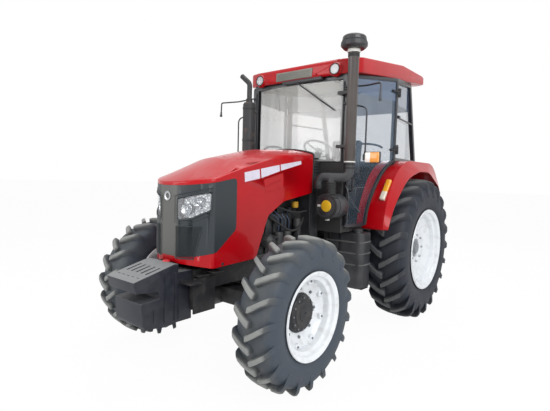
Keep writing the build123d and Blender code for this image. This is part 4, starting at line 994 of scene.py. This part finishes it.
# a line across and up, how far it stands out, its thickness
FRAMES = [
    ([(0.088, 1.198), (0.280, 1.198), (0.228, 0.952), (0.088, 0.952), (0.088, 1.198)], 0.003, 0.004),
    ([(0.100, 1.30), (0.102, 1.243), (0.150, 1.245), (0.212, 1.256), (0.322, 1.318), (0.330, 1.40),
      (0.330, 1.466), (0.21, 1.437), (0.104, 1.410), (0.100, 1.35), (0.100, 1.30)], 0.002, 0.007),
    ([(0.076, 1.222), (0.076, 1.425), (0.20, 1.458), (0.332, 1.492)], 0.001, 0.004),
    ([(0.076, 1.222), (0.215, 1.228), (0.332, 1.292)], 0.001, 0.003),
]
frames = []
for side in SIDES:
    for outline, out, thick in FRAMES:
        frames.append(hose(wrapped(outline, side, out), thick, 1, 2))
settle(frames, "lamp_surrounds", "hood", grille_plastic)

lamp_glass = Finish("headlight glass", tint(240, 244, 248), 0.04, Alpha=0.16, Coat_Weight=1.0)
lamp_glass.bump(lamp_glass.noise(90, 2), 0.0005, 0.2)
lamp_glass.on("headlights")
frosted_glass = Finish("work lamp glass", tint(238, 242, 244), 0.12, Alpha=0.55, Coat_Weight=1.0)
frosted_glass.bump(frosted_glass.noise(70, 2), 0.0008, 0.3)
frosted_glass.on("work_lamps")
mirror = Finish("lamp reflector", tint(232, 236, 240), 0.14, Metallic=0.92)
facets = mirror.node("ShaderNodeTexVoronoi", {"feature": "F1"}, {"Vector": mirror.place, "Scale": 55})
mirror.feed(Base_Color=mirror.mix(mirror.ramp(facets, 0.2, 0.6), tint(248, 250, 252), tint(150, 154, 160)))
mirror.bump(facets, 0.004, 0.6)
LAMP_ROOF = [(0.112, 1.400), (0.165, 1.415), (0.215, 1.428), (0.265, 1.440), (0.305, 1.449)]


def lamp_foot(y):
    """Height of the reflector's lower edge, which rises outboard."""
    return 1.262 + max(y - 0.21, 0) * 0.6


inner = []
for side in SIDES:
    for (ya, za), (yb, zb) in zip(LAMP_ROOF, LAMP_ROOF[1:]):
        corners = [(ya, za), (yb, zb), (yb, lamp_foot(yb)), (ya, lamp_foot(ya))]
        inner.append(plate([(nose(y, -0.050), side * y, z) for y, z in corners], (-0.004, 0, 0)))
    for y, z, r in ((0.162, 1.325, 0.046), (0.252, 1.376, 0.043)):
        dish = [(-0.030, 0.008), (-0.026, r * 0.5), (-0.016, r * 0.8), (-0.004, r), (-0.002, r - 0.002),
                (-0.016, r * 0.7), (-0.028, 0.008)]
        bulb = [(-0.03, 0), (-0.03, 0.009), (-0.012, 0.009), (-0.008, 0.004), (-0.008, 0)]
        bowl = joined([turned(dish, Vector(), "X", 32), turned(bulb, Vector(), "X", 20, False)])
        bowl.location = (nose(y, -0.012), side * y, z)
        bowl.rotation_euler = (0, 0, side * math.asin(y / NOSE_RADIUS))
        inner.append(bowl)
settle(inner, "headlight_reflectors", "hood", mirror)
low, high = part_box("work_lamps")
WORK_LAMP_Y = 0.479
dish = [(0.004, 0.0), (0.006, 0.02), (0.018, 0.036), (0.034, 0.0455), (0.036, 0.0435), (0.020, 0.033),
        (0.009, 0.018), (0.007, 0.0)]
bulb = [(0.006, 0), (0.006, 0.008), (0.024, 0.008), (0.028, 0.0)]
rim = [(0.030, 0.0495), (0.030, 0.0545), (0.049, 0.0545), (0.052, 0.050), (0.049, 0.0455), (0.046, 0.0475)]
bowls, rims = [], []
for side in SIDES:
    centre = (low.x, side * WORK_LAMP_Y, (low.z + high.z) / 2)
    bowls += [turned(dish, centre, "X", 32, False), turned(bulb, centre, "X", 16, False)]
    rims.append(turned(rim, centre, "X", 40))
fixed(bowls, "work_lamp_reflectors", mirror)
fixed(rims, "work_lamp_rims", black_casting)

# --------------------------------------------------
# Cab shell: welded posts and rails in satin black, a slatted cowl ahead of the
# screen, a ribbed rubber mat on the floor, and ribs and a handle on the rear wall.

frame_paint = weathered("black frame paint", (8, 5), (tint(19, 21, 26), tint(40, 43, 50)),
                        (0.3, 0.25), (160, 3, 0.0004), Coat_Weight=0.3, Coat_Roughness=0.2)
fixed(copied("cab_frame", 0.005, 2), "cab_posts", frame_paint, 30, ["cab_frame"])

mat = Finish("ribbed floor mat", roughness=0.75)
wear = mat.noise(6, 5)
mat.feed(Base_Color=mat.mix(wear, tint(30, 31, 34), tint(58, 57, 55)), Roughness=0.6 + 0.3 * wear)
mat.bump(mat.wave("SINE", mat.axis("X") * 420), 0.002)
mat.on("cab_floor")

wall_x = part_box("cab_floor")[0].x
ribs = [block((wall_x - 0.009, y - 0.018, 1.14), (wall_x + 0.004, y + 0.018, 1.74), 0.005)
        for y in (-0.4, -0.2, 0, 0.2, 0.4)]
handle = [(0, -0.10), (-0.028, -0.09), (-0.028, 0.09), (0, 0.10)]
ribs.append(hose([(wall_x + x, y, 1.775) for x, y in handle], 0.008))
fixed(ribs, "rear_wall_ribs", frame_paint)

fixed(copied("cowl", 0.014, 3, 60), "cowl_panel", moulded, 35, ["cowl"])
low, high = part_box("cowl")
slats = []
for side in SIDES:
    for n in range(4):
        z = 1.735 - n * 0.028
        y = side * (high.y + 0.002)
        slats.append(rod((low.x + 0.014, y, z), (high.x - 0.03, y, z), 0.006, 10))
    for x in (low.x + 0.035, high.x - 0.045):
        slats.append(rod((x, side * high.y, 1.05), (x, side * high.y, 1.60), 0.005, 10))
slats.append(hose([(low.x + 0.008, y, high.z + 0.004) for y in (-0.315, -0.1, 0.1, 0.315)], 0.009))
fixed(slats, "cowl_slats", moulded)

# --------------------------------------------------
# Glass: a pale screen with a dark printed edge, and blue-grey side and rear
# panes with a dark sun band along the top; rubber strips and steel stays.

screen_glass = Finish("windscreen glass", roughness=0.06, Coat_Weight=1.0)
off_middle = screen_glass.wave("ABSOLUTE", screen_glass.axis("Y"))
border = screen_glass.ramp(off_middle, 0.520, 0.524)
veil = screen_glass.ramp(screen_glass.axis("Z") + 0.10 * screen_glass.noise(3, 3), 2.10, 2.55)
pale = screen_glass.mix(veil, tint(236, 239, 238), tint(204, 206, 200))
screen_glass.feed(Base_Color=screen_glass.mix(border, pale, tint(14, 15, 18)), Alpha=0.34 + 0.66 * border)
screen_glass.on("windscreen")

side_glass = Finish("blue side glass", roughness=0.04, Coat_Weight=1.0)
band = side_glass.ramp(side_glass.axis("Z"), 2.428, 2.436)
haze = side_glass.mix(side_glass.noise(2, 3), tint(104, 134, 162), tint(128, 152, 176))
upper = side_glass.ramp(side_glass.axis("Z"), 1.70, 1.78)
side_glass.feed(Base_Color=side_glass.mix(band, haze, tint(92, 112, 142)),
                Alpha=0.05 + 0.12 * upper + 0.46 * band)
side_glass.on("door_glass_left", "door_glass_right", "quarter_windows", "rear_window")

strips = []
for side in SIDES:
    strips.append(hose([(0.092, side * 0.566, z) for z in (1.76, 2.1, 2.52)], 0.006, 2))
sill = [(0.078, -0.54), (0.122, -0.2), (0.128, 0), (0.122, 0.2), (0.078, 0.54)]
strips.append(hose([(x, y, 1.752) for x, y in sill], 0.008))
fixed(strips, "screen_rubber", black_rubber)
stays = []
for side in SIDES:
    stays.append(rod((-0.752, side * 0.738, 2.280), (-1.430, side * 0.640, 2.280), 0.010, 12))
    stays.append(rod((-0.740, side * 0.758, 2.280), (-0.790, side * 0.752, 2.280), 0.017, 12, 0.003))
fixed(stays, "rear_pillar_stays", frame_paint)

# --------------------------------------------------
# Doors: black tube frames with rubber edging, each on two pin hinges, with a
# bar handle outside and a grab bar inside.


def door(x, z, out):
    """A place on the left door's outer plane, moved outwards."""
    return Vector((x + 0.183 * out, 0.745 - 0.1858 * (x + 0.73) + 0.983 * out, z))


def bent(radius, *places, rings=6):
    """A bent tube through places given along the door, up it and out from it."""
    return hose([door(*place) for place in places], radius, rings)


for side in ("left", "right"):
    tube = copied(f"door_{side}", 0.004, 2)
    settle(tube, f"door_tube_{side}", f"door_{side}", frame_paint, 30, [f"door_{side}"])
FENDER_EDGE = [
    (-0.238, 1.128), (-0.252, 1.240), (-0.283, 1.345), (-0.345, 1.460), (-0.435, 1.600), (-0.515, 1.690),
    (-0.610, 1.762), (-0.690, 1.802),
]
edging = bent(0.011, *[(x, z, 0.026) for x, z in FENDER_EDGE])
handle = bent(0.010, (0.035, 1.47, 0.024), (0.035, 1.47, 0.062), (0.035, 1.50, 0.066), (0.035, 1.58, 0.066),
              (0.035, 1.61, 0.062), (0.035, 1.61, 0.024))
lock = turned([(0, 0), (0, 0.018), (0.008, 0.016), (0.008, 0)], door(0.035, 1.66, 0.026), "Y", 20, False)
hinges = []
for z in (1.915, 2.535):
    hinges.append(rod(door(-0.722, z - 0.042, 0.024), door(-0.722, z + 0.042, 0.024), 0.022, 24, 0.005))
    hinges.append(bent(0.013, (-0.722, z, 0.028), (-0.69, z, 0.032), (-0.60, z, 0.030), rings=4))
grab = bent(0.011, (-0.10, 1.90, -0.01), (-0.10, 1.94, -0.05), (-0.30, 1.96, -0.05), (-0.50, 1.96, -0.05),
            (-0.52, 1.93, -0.01))
stay = rod(door(-0.455, 2.555, -0.012), door(-0.448, 2.410, -0.02), 0.011, 12, 0.003)
pull = bent(0.011, (0.040, 1.50, -0.01), (0.030, 1.47, -0.035), (-0.170, 1.275, -0.035),
            (-0.195, 1.25, -0.01))
fitting = joined([edging, handle, lock, grab, stay, pull] + hinges)
pair(fitting, "door_fittings", "door", black_rubber)

# --------------------------------------------------
# Roof: a moulded red cap with a rounded rim, a dark liner under it, a grey
# panel and a wiper at the front, and dark speaker pods under its corners.

cap = copied("roof")
ease(cap, 0.014, 14, 100)
fixed(cap, "roof_cap", red_paint, 28, ["roof"])
ceiling = [(0.04, 0.55, 2.606), (0.04, -0.55, 2.606), (-0.72, -0.68, 2.690), (-1.30, -0.62, 2.752),
           (-1.30, 0.62, 2.752), (-0.72, 0.68, 2.690)]
liner = plate(ceiling, (0, 0, -0.008))
fixed(liner, "roof_liner", moulded)

grey_panel = weathered("grey vent panel", (5, 5), (tint(104, 106, 100), tint(138, 138, 130)),
                       (0.4, 0.2), (200, 2, 0.0005))
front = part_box("roof")[1].x
vent = block((front - 0.02, -0.24, 2.598), (front + 0.006, 0.22, 2.686), 0.006)
fixed(vent, "roof_vent_panel", grey_panel)
ridges = []
for n in range(6):
    z = 2.606 + n * 0.012
    ridges.append(block((front + 0.004, -0.22, z), (front + 0.010, 0.20, z + 0.005), 0.001))
fixed(ridges, "roof_vent_slats", grey_panel)

pods = []
for side in SIDES:
    pod = [(-0.035, 0), (-0.035, 0.040), (-0.020, 0.056), (0.020, 0.056), (0.030, 0.046), (0.030, 0)]
    pods.append(turned(pod, (0.045, side * 0.469, 2.575), "X", 32, False))
pods.append(block((0.100, -0.165, 2.560), (0.148, 0.33, 2.592), 0.008))
motor = [(-0.03, 0), (-0.03, 0.020), (0.012, 0.020), (0.018, 0.012), (0.018, 0)]
pods.append(turned(motor, (0.128, 0.003, 2.575), "X", 20, False))
fixed(pods, "roof_front_pods", moulded)
arm = [rod((0.140, 0.003, 2.575), (0.128, 0.262, 2.400), 0.006, 10),
       rod((0.128, 0.262, 2.400), (0.104, 0.425, 2.290), 0.004, 8)]
blade = hose([(0.118, 0.140, 2.482), (0.121, 0.262, 2.393), (0.108, 0.360, 2.327), (0.094, 0.467, 2.255)],
             0.006, 4)
fixed(arm + [blade], "screen_wiper", moulded)

collar = [(0.010, 0.0555), (0.010, 0.070), (0.040, 0.066), (0.050, 0.0585), (0.048, 0.0555)]
surrounds = []
for side in SIDES:
    surrounds.append(turned(collar, (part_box("work_lamps")[0].x, side * WORK_LAMP_Y, 2.640), "X", 40))
fixed(surrounds, "work_lamp_housings", red_paint)

# --------------------------------------------------
# Inside the cab: a moulded dash with a dial pod, a column with two stalks, a
# three-spoke wheel, pedals, levers on a side console and the seat's plinth.

cabin_plastic = weathered("cabin plastic", (9, 4), (tint(64, 66, 68), tint(88, 90, 92)),
                          (0.45, 0.2), (320, 2, 0.0005))
fixed(copied("dash", 0.012, 3, 40), "dash_moulding", cabin_plastic, 35, ["dash"])
cabin_plastic.on("seat_base")

dial_face = Finish("dial face", roughness=0.25, Coat_Weight=1.0)
ticks = dial_face.node("ShaderNodeTexVoronoi", {"feature": "F1"}, {"Vector": dial_face.place, "Scale": 26})
marks = dial_face.ramp(ticks, 0.10, 0.13)
dial_face.feed(Base_Color=dial_face.mix(marks, tint(214, 218, 214), tint(20, 22, 26)))
lean = math.radians(35)
panel = Vector((-0.225, 0, 1.626))
run = Vector((math.cos(lean), 0, math.sin(lean)))
rise = Vector((-math.sin(lean), 0, math.cos(lean)))
dials = []
for y in (-0.085, 0.085):
    bezel = [(0, 0), (0, 0.052), (0.006, 0.052), (0.009, 0.047), (0.006, 0.044), (0.004, 0)]
    dial = turned(bezel, Vector(), "Z", 32, False)
    dial.rotation_euler = (0, -lean, 0)
    dial.location = panel + run * 0.13 + rise * 0.001 + Vector((0, y, 0))
    dials.append(dial)
fixed(dials, "dash_dials", dial_face)

black_rubber.on("steering_column")
hub = Vector((-0.360, 0, 1.900))
WHEEL_RADIUS, GRIP = 0.181, 0.012
grip = [spoke(GRIP, n / 12) for n in range(12)]
parts = [turned([(g.y, WHEEL_RADIUS + g.x) for g in grip], Vector(), "Z", 64)]
for n in range(3):
    arm = [(0, -0.004), (0.06, -0.012), (0.12, -0.010), (WHEEL_RADIUS, 0)]
    parts.append(hose([spoke(r, 0.25 + n / 3, z) for r, z in arm], 0.008, 5))
boss = [(-0.036, 0), (-0.036, 0.018), (-0.016, 0.026), (-0.014, 0.044), (0.006, 0.046), (0.014, 0.036),
        (0.016, 0)]
parts.append(turned(boss, Vector(), "Z", 40, False))
wheel = joined(parts)
wheel.rotation_euler = (0, -lean, 0)
wheel.location = hub
settle(wheel, "steering_wheel_rim", "steering_wheel", black_rubber, 40, ["steering_wheel"])

stalks = []
for side in SIDES:
    tip = hub - rise * 0.09 + Vector((0, side * 0.13, 0.01))
    stalks.append(rod(hub - rise * 0.10, tip, 0.006, 10, 0.001))
    stalks.append(rod((-0.10, side * 0.10, 1.13), (-0.20, side * 0.10, 1.28), 0.010, 10))
    stalks.append(block((-0.235, side * 0.10 - 0.035, 1.255), (-0.205, side * 0.10 + 0.035, 1.335), 0.006))
for n in range(3):
    foot = Vector((-0.62 + n * 0.08, -0.33, 1.48))
    stalks.append(rod(foot, foot + Vector((0.02, 0, 0.16)), 0.006, 10))
    knob = [(-0.02, 0), (-0.018, 0.012), (0.0, 0.018), (0.018, 0.014), (0.024, 0)]
    stalks.append(turned(knob, foot + Vector((0.02, 0, 0.17)), "Z", 20, False))
fixed(stalks, "cabin_controls", black_rubber)
console = [
    block((-0.98, -0.40, 1.105), (-0.42, -0.265, 1.48), 0.02, 3),
    block((-0.98, 0.265, 1.252), (-0.56, 0.38, 1.50), 0.02, 3),
]
fixed(console, "side_consoles", cabin_plastic)

# --------------------------------------------------
# Seat: two padded pieces of dark woven cloth, a cushion and a back, swelled by
# cloth simulation.

woven = Finish("woven seat cloth", roughness=0.9, Sheen_Weight=0.3)
warp = woven.wave("SINE", woven.axis("X") * 1000)
weft = woven.wave("SINE", woven.axis("Y") * 1000)
fade = woven.noise(7, 4)
woven.feed(Base_Color=woven.mix(fade, tint(62, 64, 68), tint(86, 88, 92)), Roughness=0.8 + 0.15 * fade)
woven.bump(warp * 0.5 + weft * 0.5, 0.0003, 0.25)


def swelled(piece, voxel, cap, pressure=4.0):
    """A pad blown up by cloth simulation, no point moving further than a cap."""
    modify(piece, "REMESH", mode="VOXEL", voxel_size=voxel)
    rest = [point.co.copy() for point in piece.data.vertices]
    cloth = piece.modifiers.new("cloth", "CLOTH")
    cloth.settings.use_pressure = True
    cloth.settings.uniform_pressure_force = pressure
    cloth.settings.quality = 5
    cloth.settings.effector_weights.gravity = 0
    cloth.point_cache.frame_start = 1
    cloth.point_cache.frame_end = 20
    for step in range(1, 21):
        bpy.context.scene.frame_set(step)
    alone(piece)
    bpy.ops.object.modifier_apply(modifier=cloth.name)
    bpy.context.scene.frame_set(1)
    for point, was in zip(piece.data.vertices, rest):
        shift = point.co - was
        if shift.length > cap:
            point.co = was + shift.normalized() * cap
    modify(piece, "SUBSURF", levels=1)
    return piece


def slab(half, *outline):
    """A pad or panel of one section from side to side."""
    return plate([(x, -half, z) for x, z in outline], (0, 2 * half, 0))


cushion = slab(0.215, (-0.900, 1.520), (-0.895, 1.585), (-0.500, 1.600), (-0.495, 1.520))
modify(cushion, "BEVEL", width=0.03, segments=4, limit_method="ANGLE")
cushion = swelled(cushion, 0.008, 0.014)
fixed(cushion, "seat_cushion", woven, 60, ["seat"])
back = slab(0.205, (-0.955, 1.640), (-1.000, 2.070), (-0.950, 2.080), (-0.890, 1.645))
modify(back, "BEVEL", width=0.02, segments=4, limit_method="ANGLE")
back = swelled(back, 0.008, 0.012)
fixed(back, "seat_back", woven, 60)
shells = [
    block((-0.925, -0.222, 1.501), (-0.490, 0.222, 1.516), 0.005),
    slab(0.19, (-0.975, 1.60), (-1.018, 2.05), (-1.010, 2.05), (-0.965, 1.60)),
]
fixed(shells, "seat_shell", cabin_plastic)

# --------------------------------------------------
# Fenders: pressed red wings, with ribbed plastic lamps, amber over clear at the
# front and red at the back.

red_paint.on("fender_left", "fender_right")

marker_lens = Finish("ribbed lamp lens", roughness=0.12, Coat_Weight=1.0)
glow = marker_lens.noise(20, 3)
upper = marker_lens.ramp(marker_lens.axis("Z") + marker_lens.axis("X") * -0.35, 1.604, 1.608)
ahead = marker_lens.ramp(marker_lens.axis("X"), -1.01, -1.00)
amber = marker_lens.mix(glow, tint(246, 180, 36), tint(226, 150, 20))
clear = marker_lens.mix(glow, tint(240, 232, 214), tint(216, 204, 188))
red = marker_lens.mix(glow, tint(188, 18, 24), tint(150, 10, 16))
marker_lens.feed(Base_Color=marker_lens.mix(ahead, red, marker_lens.mix(upper, clear, amber)),
                 Roughness=0.10 + 0.1 * glow)
flutes = marker_lens.wave("SINE", marker_lens.axis("Z") * 700)
marker_lens.bump(flutes, 0.001)
markers = copied("fender_lamps", 0.006, 2)
fixed(markers, "marker_lamp_lenses", marker_lens, 30, ["fender_lamps"])

# --------------------------------------------------
# Exhaust on the right: a black silencer with bands round it and slots down its
# shield, and a curved tail pipe held by a bolted clamp.

hot_paint = weathered("silencer paint", (14, 7), (tint(34, 34, 37), tint(84, 66, 56)),
                      (0.45, 0.3), (90, 4, 0.0008), (0.55, 0.8))
fixed(copied("exhaust", 0.006, 2, 40), "exhaust_silencer", hot_paint, 40, ["exhaust"])
pipe = Vector((0.300, -0.486, 0))
shield = [clip(pipe, z - 0.012, z + 0.012, 0.0675, 0.003) for z in (1.36, 1.62, 1.98, 2.32)]
for n in range(9):
    share = (90 - 200 - n * 20) / 360
    shield.append(rod(pipe + spoke(0.0695, share, 1.66), pipe + spoke(0.0695, share, 1.94), 0.0022, 6))
shield.append(turned([(2.392, 0.027), (2.392, 0.034), (2.420, 0.034), (2.420, 0.027)], pipe, "Z", 32))
shield.append(rod(pipe + Vector((0.034, 0, 2.406)), pipe + Vector((0.05, 0, 2.406)), 0.005, 8))
fixed(shield, "exhaust_bands", hot_paint)

# --------------------------------------------------
# Air intake on the left: a canister with a yellow service mark, a bellows, a
# wide duct from under the hood, a dull black stack and a two-tier cleaner.

fixed(copied("air_filter", 0.004, 2, 50), "air_filter_canister", moulded, 40, ["air_filter"])
canister = Vector((0.335, 0.556, 1.326))
rings = [
    turned([(-0.012, 0.1165), (-0.010, 0.1195), (0, 0.1195), (0.003, 0.112), (0.003, 0.100), (-0.001, 0.098)],
           canister, "X", 48),
    clip(canister, -0.080, -0.064, 0.1165, 0.0025, "X", 48),
]
for n in range(4):
    place = canister + spoke(0.117, (n + 0.5) / 4, -0.03, "X")
    rings.append(block(place - Vector((0.035, 0.008, 0.008)), place + Vector((0.036, 0.008, 0.008)), 0.003))
for n in range(6):
    z = 1.446 + n * 0.020
    fold = [(z - 0.008, 0.0435), (z - 0.005, 0.052), (z, 0.0535), (z + 0.005, 0.052), (z + 0.008, 0.0435)]
    rings.append(turned(fold, (0.262, 0.556, 0), "Z", 40))
fixed(rings, "canister_rings", black_rubber)

mark = Finish("yellow service mark", roughness=0.4)
rays = mark.noise(26, 4)
mark.feed(Base_Color=mark.mix(rays, tint(240, 196, 40), tint(206, 158, 24)))
mark.bump(mark.noise(140, 2), 0.0006)
disc = [(0.0005, 0), (0.0005, 0.055), (0.005, 0.053), (0.008, 0.040), (0.008, 0)]
disc = turned(disc, canister + Vector((0, 0.004, 0.004)), "X", 40, False)
fixed(disc, "canister_service_disc", mark)
label = even("pale plain tag", tint(214, 214, 208), (40, 3), (0.35, 0.2), (160, 2, 0.0003))
spout = [(-0.118, 0.0), (-0.118, 0.020), (-0.128, 0.024), (-0.134, 0.018), (-0.134, 0.0)]
tags = [
    block(canister + Vector((0.0005, -0.092, -0.006)), canister + Vector((0.003, -0.058, 0.014)), 0.001),
    turned(spout, canister + Vector((-0.035, 0, 0)), "Z", 24, False),
]
fixed(tags, "canister_tags", label)

stack_paint = Finish("stack paint", roughness=0.38, Coat_Weight=0.3, Coat_Roughness=0.2)
tone = stack_paint.noise(6, 5)
height = stack_paint.axis("Z")
middle = stack_paint.ramp(height, 1.752, 1.754) - stack_paint.ramp(height, 2.736, 2.738)
painted = middle * stack_paint.ramp(stack_paint.axis("Y"), 0.655, 0.660)
brown = stack_paint.mix(tone, tint(58, 52, 50), tint(78, 71, 68))
black = stack_paint.mix(tone, tint(20, 20, 23), tint(38, 38, 42))
stack_paint.feed(Base_Color=stack_paint.mix(painted, black, brown), Roughness=0.32 + 0.2 * tone)
stack_paint.bump(stack_paint.noise(200, 2), 0.0003)
fixed(copied("intake_stack", 0.003, 2, 40), "intake_pipe", stack_paint, 45, ["intake_stack"])
stack = Vector((0.200, 0.714, 0))
tiers = [
    turned([(2.793, 0.116), (2.795, 0.1205), (2.829, 0.1205), (2.832, 0.116)], stack, "Z", 56),
    clip(stack, 2.838, 2.848, 0.108, 0.0045, steps=56),
    turned([(2.888, 0), (2.888, 0.060), (2.8925, 0.054), (2.8945, 0.020), (2.8945, 0)],
           stack, "Z", 40, False),
]
for n in range(24):
    tiers.append(rod(stack + spoke(0.1195, n / 24, 2.797), stack + spoke(0.1195, n / 24, 2.827), 0.0025, 8))
fixed(tiers, "cleaner_tiers", moulded)
collars = [
    turned([(2.739, 0.054), (2.739, 0.0575), (2.760, 0.0585), (2.768, 0.0575), (2.768, 0.054)],
           stack, "Z", 48),
    turned([(1.742, 0.0495), (1.742, 0.0530), (1.753, 0.0530), (1.753, 0.0495)], stack, "Z", 40),
]
fixed(collars, "stack_pale_clamps", label)
clips = [clip(stack, z - 0.010, z + 0.010, 0.0425, 0.003) for z in (1.690, 1.722)]
clips.append(clip(stack, 2.700, 2.730, 0.0495, 0.004, ease=0.003))
clips.append(clip((0.305, 0.446, 0), 1.502, 1.522, 0.0425, 0.003))
fixed(clips, "intake_clips", black_rubber)

# --------------------------------------------------
# Mirror arms, grab rails and turn lamps: bent black tube with clamped ends,
# and small two-colour lamps on dark bodies at the rails' feet.

frame_paint.on("mirror_arms")
turn_lens = Finish("turn lamp lens", roughness=0.12, Coat_Weight=1.0)
outboard = turn_lens.ramp(turn_lens.wave("ABSOLUTE", turn_lens.axis("Y")), 0.898, 0.901)
turn_lens.feed(Base_Color=turn_lens.mix(outboard, tint(250, 244, 236), tint(238, 150, 44)),
               Roughness=0.1 + 0.1 * turn_lens.noise(30, 2))
turn_lens.bump(turn_lens.wave("SINE", turn_lens.axis("Y") * 600), 0.001)
low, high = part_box("turn_lamps")
lenses, bodies, clamps = [], [], []
for side in SIDES:
    near, far = sorted((side * (high.y - 0.141), side * (high.y - 0.004)))
    lenses.append(block((0.130, near, low.z + 0.006), (0.162, far, high.z - 0.006), 0.012, 3))
    near, far = sorted((side * (high.y - 0.145), side * high.y))
    bodies.append(block((0.107, near, low.z), (0.134, far, high.z), 0.010, 3))
    near, far = sorted((side * 0.806, side * 0.842))
    bodies.append(block((0.102, near, 1.764), (0.128, far, 1.822), 0.006, 2))
    bodies.append(rod((0.114, side * 0.825, 1.820), (0.114, side * 0.825, 1.850), 0.013, 16, 0.002))
    clamps.append(rod((0.088, side * 0.570, 2.312), (0.096, side * 0.570, 2.312), 0.020, 16, 0.003))
    clamps.append(rod((0.088, side * 0.582, 2.462), (0.096, side * 0.582, 2.462), 0.020, 16, 0.003))
    sleeve = [(2.276, 0.009), (2.276, 0.015), (2.300, 0.015), (2.300, 0.009)]
    clamps.append(turned(sleeve, (0.225, side * 1.005, 0), "Z", 20))
fixed(lenses, "turn_lamp_lenses", turn_lens, 30, ["turn_lamps"])
fixed(bodies, "turn_lamp_bodies", moulded)
fixed(clamps, "mirror_arm_clamps", frame_paint)
rail = [(0.075, 0.606, 1.13), (0.078, 0.640, 1.14), (0.080, 0.644, 1.30), (0.083, 0.644, 1.50),
        (0.083, 0.606, 1.52)]
ladder = [hose([(x, side * y, z) for x, y, z in rail], 0.010, 5) for side in SIDES]
fixed(ladder, "entry_grab_rails", frame_paint)

# --------------------------------------------------
# Hitch and rear: forged links in black paint, plated pins with rings, a top
# link, oil couplers, a drawbar and a guard round the driven shaft's end.

black_casting.on("hitch_frame", "lift_arms", "lift_rods", "lower_links", "drawbar")
pins, arms = [], []
for side in SIDES:
    arms.append(bolts([(-1.485, side * 0.318, 0.900)], (0, side, 0), 0.022, 0.014))
    pins.append(rod((-1.190, side * 0.265, 0.500), (-1.190, side * 0.284, 0.500), 0.020, 20, 0.003))
settle(arms, "lift_shaft_caps", "lift_arms", bright_steel)
pins.append(rod((-1.525, -0.072, 0.785), (-1.525, 0.072, 0.785), 0.0125, 20, 0.002))
pins.append(turned([(-0.004, 0.010), (0, 0.014), (0.004, 0.010)], (-1.525, 0.078, 0.785), "Y", 20))
for n in range(8):
    y = -0.135 + (n % 4) * 0.090
    z = 0.962 if n < 4 else 0.722
    pins.append(bolts([(-1.462, y, z)], (-1, 0, 0), 0.011, 0.008))
fixed(pins, "hitch_pins", bright_steel)
link = [
    rod((-1.555, 0, 0.800), (-1.585, 0, 0.925), 0.014, 16, 0.002),
    rod((-1.585, 0, 0.925), (-1.622, 0, 1.085), 0.021, 16, 0.003),
    rod((-1.622, 0, 1.085), (-1.634, 0, 1.140), 0.012, 16, 0.002),
    block((-1.652, -0.024, 1.130), (-1.600, 0.024, 1.165), 0.006),
]
for side in SIDES:
    for z in (1.000, 1.055):
        link.append(rod((-1.560, side * 0.16, z), (-1.600, side * 0.16, z), 0.017, 16, 0.003))
        link.append(rod((-1.600, side * 0.16, z), (-1.612, side * 0.16, z), 0.022, 16, 0.003))
fixed(link, "top_link_and_couplers", black_casting)
hoop = [(-1.435, -0.075, 0.575), (-1.500, -0.080, 0.600), (-1.505, -0.078, 0.680)]
hoop += [(-1.505, 0, 0.705)] + [(x, -y, z) for x, y, z in reversed(hoop)]
guard = hose(hoop, 0.006)
fixed(guard, "shaft_guard", black_casting)
